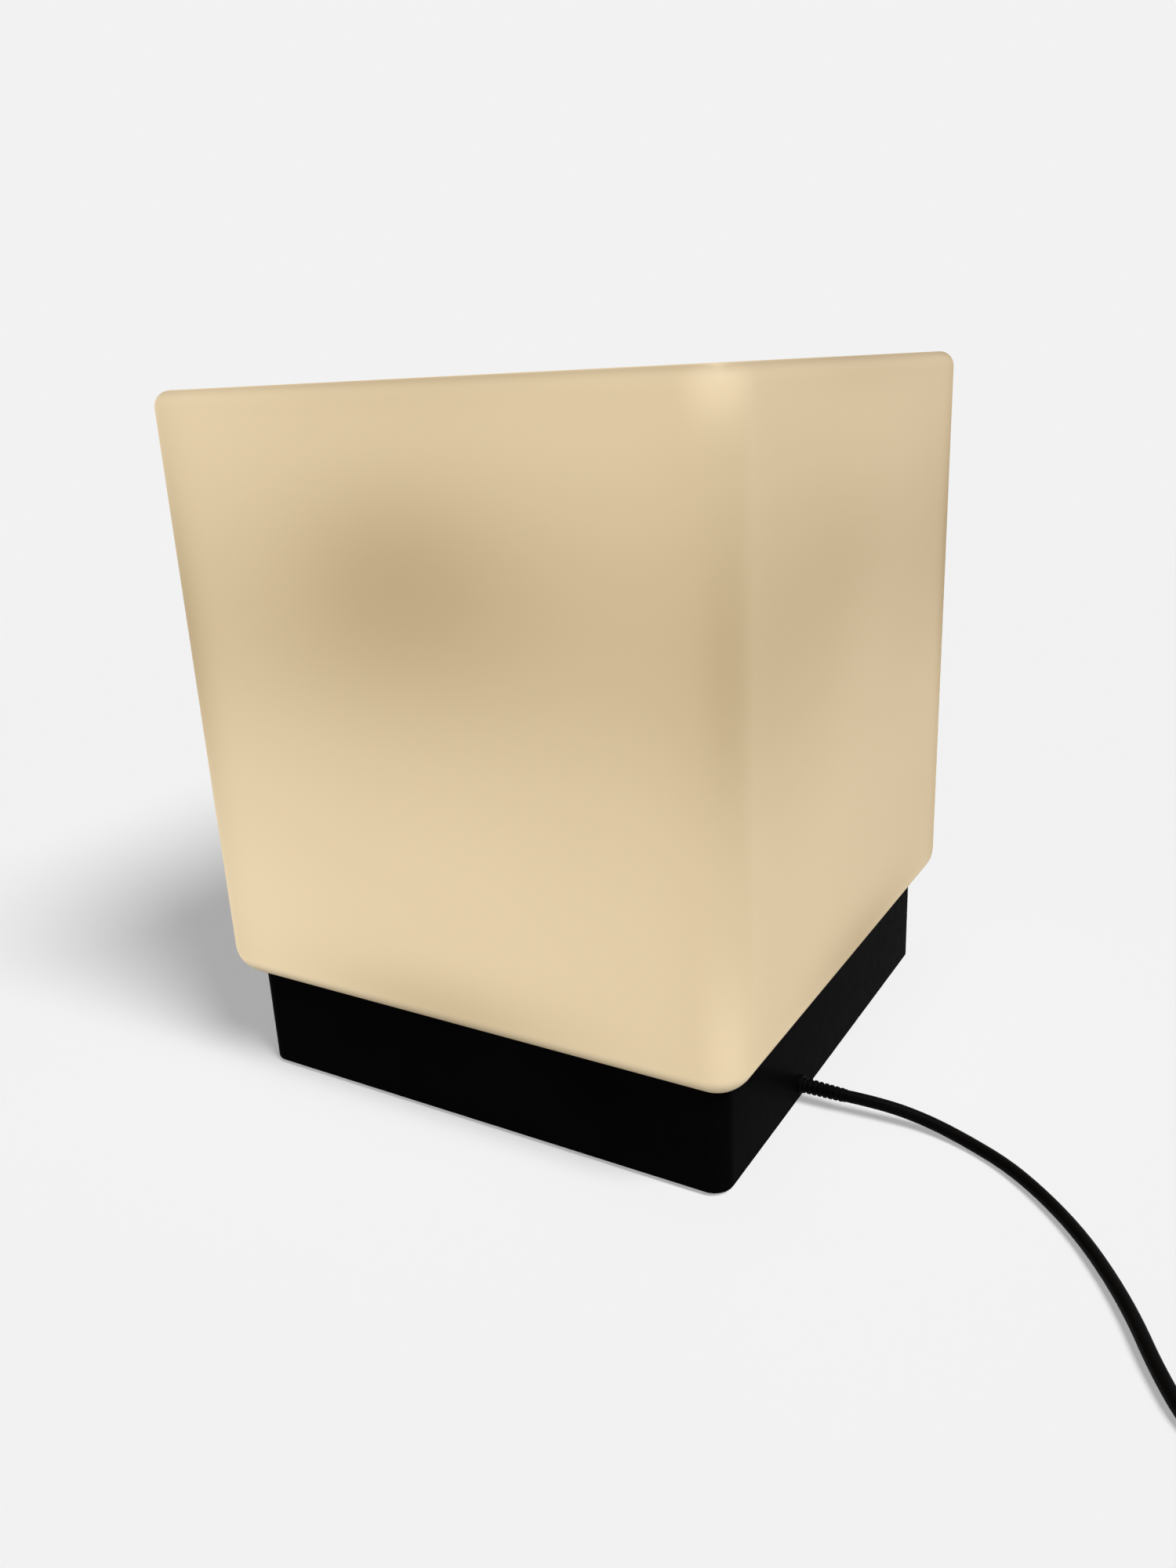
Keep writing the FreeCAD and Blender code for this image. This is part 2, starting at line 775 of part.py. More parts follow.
# ---------------------------------------------------------------- driver and wiring in the base
def make_driver_case():
    length, width, wall = s.driver_length, s.driver_width, s.driver_wall
    outer = box("case_outside", length, width, s.driver_height, driver_x, s.cord_y, cover_top)
    inner = box(
        "case_inside", length - 2 * wall, width - 2 * wall, s.driver_height, driver_x, s.cord_y,
        cover_top + wall,
    )
    tray = cut("case_tray", outer, inner)
    ears = [
        box(f"case_ear_{word}", s.ear_side, s.ear_side, s.ear_thickness,
            driver_x, s.cord_y + k * ear_at, cover_top)
        for k, word in driver_ears
    ]
    posts = [
        rod(f"case_post_{i}", s.standoff / 2, s.standoff,
            driver_x + a * (length / 2 - wall - s.standoff),
            s.cord_y + b * (width / 2 - wall - s.standoff), cover_top + wall)
        for i, (a, b) in enumerate(CORNERS)
    ]
    holes = [
        rod(f"ear_hole_{word}", s.screw_radius + s.fit_gap, s.ear_thickness + 2 * s.overcut,
            driver_x, s.cord_y + k * ear_at, cover_top - s.overcut)
        for k, word in driver_ears
    ]
    return cut("driver_case", fuse("case_solid", tray, *ears, *posts), *holes)


def make_driver_lid():
    length, width, wall = s.driver_length, s.driver_width, s.driver_wall
    plate = box("lid_plate", length, width, wall, driver_x, s.cord_y, driver_top)
    shrink = 2 * (wall + s.fit_gap)
    lip = box("lid_lip", length - shrink, width - shrink, wall, driver_x, s.cord_y, driver_top - wall)
    hollow = box(
        "lid_hollow", length - shrink - 2 * wall, width - shrink - 2 * wall, wall,
        driver_x, s.cord_y, driver_top - wall,
    )
    return fuse("driver_lid", plate, cut("lid_rim", lip, hollow))


def make_driver_board():
    shrink = 2 * (s.driver_wall + s.driver_slack)
    return box(
        "driver_board", s.driver_length - shrink, s.driver_width - shrink, s.board_thickness,
        driver_x, s.cord_y, board_low,
    )


def make_driver_transformer():
    """A bobbin between two ferrite halves."""
    place = (driver_x, s.cord_y, parts_low)
    core = box("transformer_core", s.core_length, s.core_width, s.core_height, *place)
    bobbin = box("transformer_bobbin", s.bobbin_length, s.bobbin_width, s.bobbin_height, *place)
    return fuse("driver_transformer", core, bobbin)


def make_driver_capacitor():
    return rod(
        "driver_capacitor", s.capacitor_radius, s.capacitor_height,
        driver_x + s.capacitor_at, s.cord_y, parts_low,
    )


def make_driver_screws():
    low = cover_top + s.ear_thickness
    return group("driver_screws", [
        screw(f"driver_screw_{word}", driver_x, s.cord_y + k * ear_at, low, s.ear_thickness + s.short_bite)
        for k, word in driver_ears
    ])


well_floor = cover_top + s.terminal_height - s.well_depth


def terminal_rods(name, radius, length):
    """One rod in each of the block's four screw wells."""
    return [
        rod(f"{name}_{i}", radius, length,
            terminal_x + a * s.terminal_length / 4, s.cord_y + b * s.pole_pitch / 2, well_floor)
        for i, (a, b) in enumerate(CORNERS)
    ]


def make_terminal_block():
    block = box(
        "terminal_moulding", s.terminal_length, s.terminal_width, s.terminal_height,
        terminal_x, s.cord_y, cover_top,
    )
    wells = terminal_rods(
        "terminal_well", s.terminal_screw_radius + s.bite_gap, s.well_depth + s.overcut
    )
    return cut("terminal_block", block, *wells)


def make_terminal_screws():
    rods = terminal_rods("terminal_screw", s.terminal_screw_radius, s.terminal_screw_length)
    return group("terminal_screws", rods)


def make_cord_clamp():
    bar = box(
        "clamp_bar", s.clamp_width, 2 * (s.clamp_screw_at + s.boss_radius - 1), s.clamp_height,
        clamp_x, s.cord_y, s.cord_z,
    )
    groove = rod(
        "clamp_groove", s.cord_radius + s.bite_gap, s.clamp_width + 2 * s.overcut,
        clamp_x - s.clamp_width / 2 - s.overcut, s.cord_y, s.cord_z, "x",
    )
    holes = [
        rod(f"clamp_hole_{k}", s.screw_radius + s.fit_gap, s.clamp_height + 2 * s.overcut,
            clamp_x, s.cord_y + k * s.clamp_screw_at, s.cord_z - s.overcut)
        for k in (-1, 1)
    ]
    return cut("cord_clamp", bar, groove, *holes)


def make_clamp_screws():
    low = s.cord_z + s.clamp_height
    length = low - cover_top
    return group("clamp_screws", [
        screw(f"clamp_screw_{k}", clamp_x, s.cord_y + k * s.clamp_screw_at, low, length)
        for k in (-1, 1)
    ])


def make_strain_relief():
    """A bush that grips the base's wall between a lip and a shoulder, with a tapered tail."""
    wide = s.relief_root + s.relief_lip
    wall_in, wall_out = inner_side / 2, base_side / 2
    lip = rod("relief_lip_disc", wide, s.lip_thickness, wall_in - s.lip_thickness, s.cord_y, s.cord_z, "x")
    neck = rod("relief_neck", s.relief_root, s.base_wall, wall_in, s.cord_y, s.cord_z, "x")
    shoulder = rod("relief_shoulder", wide, s.lip_thickness, wall_out, s.cord_y, s.cord_z, "x")
    tail = taper(
        "relief_tail", s.relief_root, s.relief_tip, s.relief_length, wall_out, s.cord_y, s.cord_z, "x"
    )
    return fuse("strain_relief", lip, neck, shoulder, tail)


def make_inner_jacket():
    end = inner_side / 2 - s.lip_thickness
    return rod("inner_jacket", s.cord_radius, end - jacket_end, jacket_end, s.cord_y, s.cord_z, "x")


def make_core(name, side):
    """One insulated core: from the jacket to the terminal block, and on to the driver."""
    near = s.cord_y + side * s.core_pitch / 2
    far = s.cord_y + side * s.pole_pitch / 2
    third = (jacket_end - terminal_right) / 3
    entering = tube(f"{name}_in", [
        (jacket_end, near, s.cord_z),
        (jacket_end - third, near, s.cord_z),
        (terminal_right + third, far, s.cord_z),
        (terminal_right, far, s.cord_z),
    ], s.core_radius)
    onward = rod(f"{name}_on", s.core_radius, terminal_left - driver_right, driver_right, far, s.cord_z, "x")
    return group(name, [entering, onward])


def make_led_lead(name, side):
    """A lead from the driver's end up through the base to the LED board's connector."""
    y = lead_y + side * s.lead_pitch / 2
    low = cover_top + s.driver_height / 2
    high = board_top + s.connector_height / 2
    return tube(name, [
        (driver_left, y, low),
        (led_hole_x, y, low),
        (led_hole_x, y, high),
        (connector_left, y, high),
    ], s.core_radius, bend=float(s.lead_bend))


# ---------------------------------------------------------------- the in-line switch
def half_shell(name, upper):
    """One half of the switch's casing, hollow, open at the joint."""
    wall = s.switch_wall
    low = switch_axis if upper else 0
    edge = s.switch_round
    outer = moulded_block(
        f"{name}_outside", s.switch_width, s.switch_length, switch_axis, s.switch_corner,
        bottom=None if upper else edge, top=edge if upper else None, x=s.switch_x, y=s.switch_y, z=low,
    )
    inner = moulded_block(
        f"{name}_inside", s.switch_width - 2 * wall, s.switch_length - 2 * wall, switch_axis - wall,
        s.switch_corner - wall, x=s.switch_x, y=s.switch_y, z=low if upper else wall,
    )
    return cut(f"{name}_shell", outer, inner)


post_places = [(s.switch_x, s.switch_y + k * s.post_at) for k in (-1, 1)]


def make_switch_base():
    wall = s.switch_wall
    posts = [
        rod(f"low_post_{i}", s.post_radius, switch_axis - wall, *place, wall)
        for i, place in enumerate(post_places)
    ]
    holes = [
        sunk_hole(f"low_post_hole_{i}", *place, 0, switch_axis) for i, place in enumerate(post_places)
    ]
    return cut("switch_base", fuse("switch_base_solid", half_shell("switch_base", False), *posts), *holes)


thread_depth = (s.switch_height - switch_axis - s.switch_wall) * 2 / 3  # in the upper half's posts
cheek_x = s.rocker_width / 2 + s.rocker_gap + s.cheek_thickness / 2  # the middle of each cheek


def make_switch_cover():
    """The upper half, with the rocker's opening and the two cheeks that carry its axle."""
    wall = s.switch_wall
    under = s.switch_height - wall
    posts = [
        rod(f"high_post_{i}", s.post_radius, under - switch_axis, *place, switch_axis)
        for i, place in enumerate(post_places)
    ]
    low = s.axle_height - s.axle_radius - s.cheek_thickness
    cheek_length = 2 * (s.axle_radius + s.cheek_thickness)
    cheeks = [
        box(f"cheek_{k}", s.cheek_thickness, cheek_length, under - low,
            s.switch_x + k * cheek_x, s.switch_y, low)
        for k in (-1, 1)
    ]
    solid = fuse("switch_cover_solid", half_shell("switch_cover", True), *posts, *cheeks)
    opening = box(
        "rocker_opening", s.rocker_width + 2 * s.rocker_gap, s.rocker_length + 2 * s.rocker_end_gap,
        wall + 2 * s.overcut, s.switch_x, s.switch_y, under - s.overcut,
    )
    bore = rod(
        "axle_bore", s.axle_radius + s.bite_gap, 2 * (cheek_x + s.cheek_thickness),
        s.switch_x - cheek_x - s.cheek_thickness, s.switch_y, s.axle_height, "x",
    )
    threads = [
        rod(f"post_thread_{i}", s.screw_radius + s.bite_gap, thread_depth + s.overcut, *place,
            switch_axis - s.overcut)
        for i, place in enumerate(post_places)
    ]
    return cut("switch_cover", solid, opening, bore, *threads)


def make_switch_rocker():
    """A rocker with a dished top on its axle, tipped to the on side."""
    half = s.rocker_length / 2
    body = doc.addObject("PartDesign::Body", "rocker_key")
    pad(body, outline(body, "YZ_Plane", [
        (-half, -s.rocker_depth),
        (half, -s.rocker_depth),
        (half, s.rocker_rise),
        (0, s.rocker_dip),
        (-half, s.rocker_rise),
    ]), s.rocker_width, midplane=True)
    axle = rod("rocker_axle", s.axle_radius, 2 * cheek_x, -cheek_x, 0, 0, "x")
    rocker = fuse("switch_rocker", body, axle)
    turn(rocker, Vector(1, 0, 0), -float(s.rocker_swing) / 2)
    return put(rocker, s.switch_x, s.switch_y, s.axle_height)


def make_switch_contacts():
    return group("switch_contacts", [
        box(f"contact_{k}", s.contact_side, s.contact_side, s.contact_height,
            s.switch_x, s.switch_y + k * s.contact_at, s.switch_wall)
        for k in (-1, 1)
    ])


def make_switch_screws():
    length = switch_axis + thread_depth - s.bite_gap
    return group("switch_screws", [
        sunk_screw(f"switch_screw_{i}", *place, 0, length) for i, place in enumerate(post_places)
    ])


# ---------------------------------------------------------------- the mains lead
def make_power_cord():
    """The stretch in view: out of the base, down onto the table, round and up to the switch."""
    return tube("power_cord", [
        (relief_end, s.cord_y, s.cord_z),
        (150, s.cord_y, s.cord_z),
        (168, -39.5, 4.6),
        (186, -44.5, 2.5),
        (202.5, -53.5, 2.5),
        (218, -65.5, 2.5),
        (232.5, -80.5, 2.5),
        (244.5, -96.5, 2.5),
        (255, -113, 2.5),
        (264.5, -130.5, 2.5),
        (276, -150, 2.5),
        (293, -160.5, 2.5),
        (312.5, -161, 2.8),
        (329.5, -151, 5.5),
        (s.switch_x, -133.5, switch_axis),
        (s.switch_x, switch_near, switch_axis),
    ], s.cord_radius, told="power_cord")


def make_switch_cord():
    """From the switch down to the coil's lowest turn."""
    coil_start = s.coil_y - 2 * s.cord_radius
    run = (coil_start - switch_far) * END_SHARE
    return tube("switch_cord", [
        (s.switch_x, switch_far, switch_axis),
        (s.switch_x, switch_far + run, switch_axis),
        (s.coil_x + coil_outer, coil_start - run, coil_low),
        (s.coil_x + coil_outer, coil_start, coil_low),
    ], s.cord_radius, told="switch_cord")


def make_plug_cord():
    """From the coil's top turn down to the plug, which lies beside the coil."""
    coil_end = s.coil_y + 2 * s.cord_radius
    relief_start = s.plug_tail_y - s.plug_relief_length
    return tube("plug_cord", [
        (s.coil_x + coil_outer, coil_end, coil_high),
        (s.coil_x + coil_outer, 20, coil_high),
        (337, 38, 13.4),
        (s.plug_x, 54.5, plug_axis),
        (s.plug_x, relief_start, plug_axis),
    ], s.cord_radius, told="plug_cord")


def coil_place(quarter):
    """The cord's centre and heading in the coil after so many quarter turns.

    Each layer winds in or out at a steady rate. The cord climbs to the next layer in the half turn
    round the place where the winding reverses.
    """
    layer_quarters = LAYER_TURNS * QUARTERS
    layer, step = divmod(quarter, layer_quarters)
    inward = layer % 2 == 0
    share = step / layer_quarters
    outer, inner, pitch = float(coil_outer), float(coil_inner), float(turn_pitch)
    radius = outer + (inner - outer) * (share if inward else 1 - share)
    level = float(coil_low) + min(layer, COIL_LAYERS - 1) * pitch
    drift = pitch / (2 * math.pi) * (-1 if inward else 1)
    climb = 0
    if step == 0:
        drift = 0
        if 0 < layer < COIL_LAYERS:
            level -= pitch / 2
            climb = pitch / 2
    angle = quarter * math.pi / 2
    out = Vector(math.cos(angle), math.sin(angle), 0)
    round_it = Vector(-math.sin(angle), math.cos(angle), 0)
    heading = out * drift + round_it * radius + Vector(0, 0, climb)
    heading.normalize()
    return Vector(float(s.coil_x), float(s.coil_y), level) + out * radius, heading


def arc_from(start, heading, end):
    """The arc that leaves start along heading and ends at end."""
    chord = end - start
    half = heading.getAngle(chord)
    along = Vector(chord)
    along.normalize()
    aside = heading - along * heading.dot(along)
    aside.normalize()
    middle = (start + end) / 2 + aside * (chord.Length / 2 * math.tan(half / 2))
    return Part.Arc(start, middle, end).toShape()


def two_arcs(start, leaving, end, arriving):
    """Two arcs with one heading where they meet, from one place and heading to another."""
    chord = end - start
    both = chord.dot(leaving + arriving)
    spare = 2 * (1 - leaving.dot(arriving))
    reach = (math.sqrt(both**2 + spare * chord.dot(chord)) - both) / spare
    joint = (start + end + (leaving - arriving) * reach) / 2
    first = arc_from(start, leaving, joint)
    joint_heading = (end - arriving * reach) - (start + leaving * reach)
    joint_heading.normalize()
    return [first, arc_from(joint, joint_heading, end)]


def least_gap(edges, radius):
    """The least distance between the tube's own surfaces, away from where it is the same turn."""
    step = radius / 2
    points = []
    for edge in edges:
        for point in edge.discretize(max(3, int(edge.Length / step)))[:-1]:
            points.append(point)
    spacing = sum(edge.Length for edge in edges) / len(points)
    skip = int(10 * radius / spacing)
    least = min(
        (points[i] - points[j]).Length
        for i in range(len(points))
        for j in range(i + skip, len(points))
    )
    return least - 2 * radius


def make_cord_coil():
    """The put-away length: one unbroken tube in piled loops, with a straight end at each side."""
    straight = 2 * float(s.cord_radius)
    quarters = COIL_LAYERS * LAYER_TURNS * QUARTERS
    places = [coil_place(q) for q in range(quarters + 1)]
    (first, heading), (last, leaving) = places[0], places[-1]
    edges = [Part.LineSegment(first - heading * straight, first).toShape()]
    for (start, out), (end, into) in zip(places, places[1:]):
        edges += two_arcs(start, out, end, into)
    edges.append(Part.LineSegment(last, last + leaving * straight).toShape())
    gap = least_gap(edges, float(s.cord_radius))
    print(f"cord_coil: {COIL_LAYERS * LAYER_TURNS} turns, least gap to itself {gap:.2f} mm")
    if gap < LEAST_TURN_GAP:
        raise ValueError("the coil's turns come too near each other")
    return shape_node("cord_coil", swept(edges, s.cord_radius, "cord_coil"))


def make_coil_tie():
    """A strap round the bundle of turns on the side away from the plug."""
    deep = coil_outer - coil_inner - turn_pitch + 2 * s.cord_radius + 2 * s.tie_gap
    tall = coil_high - coil_low + 2 * s.cord_radius + 2 * s.tie_gap
    x = s.coil_x - s.coil_mean_radius
    outer = box(
        "tie_outside", deep + 2 * s.tie_thickness, s.tie_width, tall + 2 * s.tie_thickness, x, s.coil_y, 0
    )
    inner = box("tie_inside", deep, s.tie_width + 2 * s.overcut, tall, x, s.coil_y, s.tie_thickness)
    return cut("coil_tie", outer, inner)


# ---------------------------------------------------------------- the plug
def make_plug_relief():
    return taper(
        "plug_relief", s.cord_radius, s.plug_relief_root, s.plug_relief_length,
        s.plug_x, s.plug_tail_y - s.plug_relief_length, plug_axis, "y",
    )


def make_plug_body():
    """A flat body that widens from its tail to the face with the pins."""
    tail, face = s.plug_tail_width / 2, s.plug_width / 2
    body = doc.addObject("PartDesign::Body", "plug_body")
    pad(body, outline(body, "XY_Plane", [
        (-tail, 0),
        (tail, 0),
        (face, s.plug_slope),
        (face, s.plug_length),
        (-face, s.plug_length),
        (-face, s.plug_slope),
    ]), s.plug_thickness)
    round_edges(body, s.plug_corner, upright)
    round_edges(body, s.plug_corner, level_at(0))
    round_edges(body, s.plug_corner, level_at(float(s.plug_thickness)))
    return put(body, s.plug_x, s.plug_tail_y, 0)


def make_plug_pins():
    """Two round pins with domed tips."""
    made = []
    for k in (-1, 1):
        x = s.plug_x + k * s.pin_pitch / 2
        straight = s.pin_length - s.pin_radius
        shank = rod(f"pin_shank_{k}", s.pin_radius, straight, x, plug_face, plug_axis, "y")
        tip = make("Part::Sphere", f"pin_tip_{k}", Radius=s.pin_radius)
        put(tip, x, plug_face + straight, plug_axis)
        made.append(fuse(f"plug_pin_{k}", shank, tip))
    return group("plug_pins", made)


# ---------------------------------------------------------------- all pieces
PIECES = [
    make_shade(),
    make_shade_gasket(),
    make_shade_ring(),
    make_ring_pads(),
    make_ring_screws(),
    make_heat_plate(),
    make_led_board(),
    make_board_screws(),
    make_led_chips(),
    make_board_connector(),
    make_led_cover(),
    make_led_cover_screws(),
    make_base_housing(),
    make_bottom_cover(),
    make_bottom_screws(),
    make_rubber_feet(),
    make_driver_case(),
    make_driver_lid(),
    make_driver_board(),
    make_driver_transformer(),
    make_driver_capacitor(),
    make_driver_screws(),
    make_terminal_block(),
    make_terminal_screws(),
    make_cord_clamp(),
    make_clamp_screws(),
    make_strain_relief(),
    make_inner_jacket(),
    make_core("live_core", -1),
    make_core("neutral_core", 1),
    make_led_lead("led_lead_red", -1),
    make_led_lead("led_lead_black", 1),
    make_switch_base(),
    make_switch_cover(),
    make_switch_rocker(),
    make_switch_contacts(),
    make_switch_screws(),
    make_power_cord(),
    make_switch_cord(),
    make_cord_coil(),
    make_coil_tie(),
    make_plug_cord(),
    make_plug_relief(),
    make_plug_body(),
    make_plug_pins(),
]

doc.recompute()
for thing in doc.Objects:
    if "Invalid" in thing.State or "Error" in thing.State:
        raise ValueError(f"{thing.Name} failed: {thing.State}")
for piece in PIECES:
    if piece.Shape.isNull() or not piece.Shape.isValid() or not piece.Shape.Solids:
        raise ValueError(f"{piece.Name} has no sound solid")
for piece in PIECES:
    piece.Label = piece.Name
    piece.Shape.exportStep(f"parts/{piece.Name}.step")
print(f"{len(PIECES)} nodes, {sum(len(piece.Shape.Solids) for piece in PIECES)} solids")
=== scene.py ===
"""Opal cube table light: finishes and fine detail over its solids.

Metres, +Z up. The origin is on the table under the middle of the base. The mains lead leaves through the
base's +X side. Sizes are written in millimetres and turned to metres where a mesh or a node is made.
"""

import json
import math

import bmesh
import bpy
from mathutils import Euler, Matrix, Vector


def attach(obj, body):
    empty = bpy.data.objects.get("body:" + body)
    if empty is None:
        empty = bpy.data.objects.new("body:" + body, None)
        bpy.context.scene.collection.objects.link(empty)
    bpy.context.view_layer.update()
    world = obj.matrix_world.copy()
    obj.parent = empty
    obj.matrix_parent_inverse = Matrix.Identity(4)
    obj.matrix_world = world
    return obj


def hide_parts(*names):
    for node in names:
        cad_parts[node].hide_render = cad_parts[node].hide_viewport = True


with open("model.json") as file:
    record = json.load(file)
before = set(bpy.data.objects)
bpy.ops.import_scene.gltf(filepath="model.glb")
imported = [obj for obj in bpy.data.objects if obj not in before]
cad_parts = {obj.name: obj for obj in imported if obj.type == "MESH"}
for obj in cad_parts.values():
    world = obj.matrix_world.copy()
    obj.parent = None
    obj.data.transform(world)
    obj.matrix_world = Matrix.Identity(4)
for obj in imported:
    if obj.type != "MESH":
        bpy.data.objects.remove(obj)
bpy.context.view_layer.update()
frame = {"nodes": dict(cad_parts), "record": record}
NODES = frame["nodes"]
MM = 0.001


# ---- tools
def linear(hexcode):
    """An sRGB hex colour as the linear colour that a shader takes."""
    channels = [int(hexcode[i:i + 2], 16) / 255 for i in (1, 3, 5)]
    return [c / 12.92 if c <= 0.04045 else ((c + 0.055) / 1.055) ** 2.4 for c in channels] + [1.0]


def add(tree, kind, inputs=None, **settings):
    """A node with its settings, and its inputs set to values or linked from other nodes' outputs."""
    node = tree.nodes.new(kind)
    for name, value in settings.items():
        setattr(node, name, value)
    for key, value in (inputs or {}).items():
        if isinstance(value, bpy.types.Node):
            value = value.outputs[0]
        if isinstance(value, bpy.types.NodeSocket):
            tree.links.new(value, node.inputs[key])
        else:
            node.inputs[key].default_value = value
    return node


def blank_tree(owner):
    """The emptied node tree of a material or a world."""
    owner.use_nodes = True
    owner.node_tree.nodes.clear()
    return owner.node_tree


def polar(radius, degrees):
    return radius * math.cos(math.radians(degrees)), radius * math.sin(math.radians(degrees))


def metres(points):
    return [Vector(p) * MM for p in points]


def show(name, data):
    """A new object in the scene."""
    obj = bpy.data.objects.new(name, data)
    bpy.context.scene.collection.objects.link(obj)
    return obj


def as_mesh(obj, name):
    """What a curve or an object with modifiers comes to, as a plain mesh."""
    bpy.context.view_layer.update()
    mesh = bpy.data.meshes.new_from_object(obj.evaluated_get(bpy.context.evaluated_depsgraph_get()))
    mesh.name = name
    return mesh


def solid(name, points, faces, material, crease=35, turn_out=True):
    """A mesh piece from points in millimetres, smooth apart from edges sharper than crease degrees.

    turn_out makes its faces look outwards.
    """
    mesh = bpy.data.meshes.new(name)
    mesh.from_pydata(metres(points), [], faces)
    if turn_out:
        work = bmesh.new()
        work.from_mesh(mesh)
        bmesh.ops.recalc_face_normals(work, faces=work.faces)
        work.to_mesh(mesh)
        work.free()
    mesh.materials.append(material)
    smooth(mesh, crease)
    return show(name, mesh)


def smooth(mesh, crease):
    mesh.polygons.foreach_set("use_smooth", [True] * len(mesh.polygons))
    mesh.set_sharp_from_angle(angle=math.radians(crease))


def loft(rings, closed_ends=(True, True)):
    """Points and faces of a skin over rings of equally many points, with its ends filled."""
    points, faces = [], []
    for ring in rings:
        points += ring
    count = len(rings[0])
    for i in range(len(rings) - 1):
        for j in range(count):
            k = (j + 1) % count
            faces.append((i * count + j, i * count + k, (i + 1) * count + k, (i + 1) * count + j))
    if closed_ends[0]:
        faces.append(tuple(range(count))[::-1])
    if closed_ends[1]:
        faces.append(tuple(range((len(rings) - 1) * count, len(rings) * count)))
    return points, faces


def hoop(rings):
    """Points and faces of a skin over rings, with the last ring joined to the first."""
    points, faces = loft(rings + rings[:1], closed_ends=(False, False))
    count = len(rings) * len(rings[0])
    return points[:count], [tuple(i % count for i in face) for face in faces]


AXES = {"x": ((0, 1, 0), (0, 0, 1), (1, 0, 0)), "y": ((0, 0, 1), (1, 0, 0), (0, 1, 0)),
        "z": ((1, 0, 0), (0, 1, 0), (0, 0, 1))}


def turned(profile, at, along="z", steps=32):
    """Points and faces of a turned form: its profile is (radius, distance along its axis)."""
    across, aside, axis = (Vector(v) for v in AXES[along])
    rings = []
    for radius, far in profile:
        centre = Vector(at) + axis * far
        rings.append([centre + across * x + aside * y
                      for x, y in (polar(radius, 360 * i / steps) for i in range(steps))])
    return loft(rings)


def joined(parts):
    """Several lots of points and faces as one."""
    points, faces = [], []
    for some, these in parts:
        start = len(points)
        points += [Vector(p) for p in some]
        faces += [tuple(start + i for i in face) for face in these]
    return points, faces


def quarter_round(radius, steps):
    """How far each step of a rounded edge stands in from the side, and how high it is."""
    turns = (math.pi / 2 * i / steps for i in range(steps + 1))
    return [(radius * (1 - math.sin(a)), radius * (1 - math.cos(a))) for a in turns]


def soft_block(length, width, height, at, radius=0.6, steps=3):
    """A block with every edge rounded, which stands on the height of its place."""
    half_l, half_w = length / 2, width / 2
    radius = min(radius, half_l * 0.98, half_w * 0.98, height * 0.49)
    rolled = quarter_round(radius, steps)
    rings = []
    for inset, level in rolled + [(inset, height - low) for inset, low in reversed(rolled)]:
        corner = max(radius - inset, 0.02)
        ring = []
        for cx, cy, start in ((1, 1, 0), (-1, 1, 90), (-1, -1, 180), (1, -1, 270)):
            for k in range(steps + 1):
                x, y = polar(corner, start + 90 * k / steps)
                spot = Vector((cx * (half_l - radius) + x, cy * (half_w - radius) + y, level))
                ring.append(spot + Vector(at))
        rings.append(ring)
    return loft(rings)


def curve_line(name, points, radius, resolution=12, sides=3):
    """A round line along one smooth curve, whose points in millimetres are the curve's control points."""
    curve = bpy.data.curves.new(name, "CURVE")
    curve.dimensions = "3D"
    spline = curve.splines.new("NURBS")
    spline.points.add(len(points) - 1)
    for slot, point in zip(spline.points, metres(points)):
        slot.co = (*point, 1.0)
    spline.order_u = 3
    spline.use_endpoint_u = True
    spline.resolution_u = resolution
    curve.bevel_depth = radius * MM
    curve.bevel_resolution = sides
    curve.use_fill_caps = True
    return show(name, curve)


def place(obj, slot, *nodes, body="base"):
    """Rides on its body and stands for its nodes, whose solids it hides. Its slot is not used."""
    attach(obj, body)
    if nodes:
        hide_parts(*nodes)
    return obj


def dress(node, material):
    """Gives a node whose solids stay in view its finish."""
    for slot in NODES[node].material_slots:
        slot.material = material


# ---- camera
def set_camera():
    """The photograph's camera: where it stood, and how it was turned, in degrees."""
    stand = (0.281, -0.46751, 0.29633)
    to_left, down, rolled = 31.5647, 18.4884, -2.8924
    camera = bpy.data.cameras.new("camera")
    camera.lens = 28.517
    camera.sensor_width = 36
    camera.sensor_fit = "AUTO"
    camera.clip_start = 0.01
    eye = show("camera", camera)
    turn = (Matrix.Rotation(math.radians(to_left), 4, "Z")
            @ Matrix.Rotation(math.radians(90 - down), 4, "X")
            @ Matrix.Rotation(math.radians(rolled), 4, "Z"))
    eye.matrix_world = Matrix.Translation(stand) @ turn
    bpy.context.scene.camera = eye


set_camera()

# ---- the mains lead's route, mm
CORD_RADIUS = 2.5
RELIEF_TIP = (134.5, -39, 8)
POWER_ROUTE = [
    RELIEF_TIP, (150, -38, 8), (168, -36.5, 4.6), (186, -41, 2.5), (202.5, -49.5, 2.5), (218, -62, 2.5),
    (232.5, -77, 2.5), (244.5, -93.5, 2.5), (255, -111, 2.5), (264, -130, 2.5), (276, -150, 2.5),
    (293, -160.5, 2.5), (312.5, -161, 2.8), (329.5, -151, 5.5), (338, -133.5, 9), (338, -114, 9),
]
SWITCH_ROUTE = [(338, -54, 9), (338, -39.3, 9), (340.3, -19.7, 3.5), (342.6, -5, 3.5)]
PLUG_X, PLUG_Z, PLUG_BACK = 335, 6.85, 70
PLUG_ROUTE = [
    (342.6, 5, 20), (340.6, 20, 20), (337, 38, 13.4), (PLUG_X, 54.5, PLUG_Z), (PLUG_X, PLUG_BACK, PLUG_Z),
]
COIL_CENTRE = (311, 0)
COIL_OUTER, COIL_INNER = 32.0, 21.0
COIL_LOW, COIL_PITCH = 3.5, 5.5
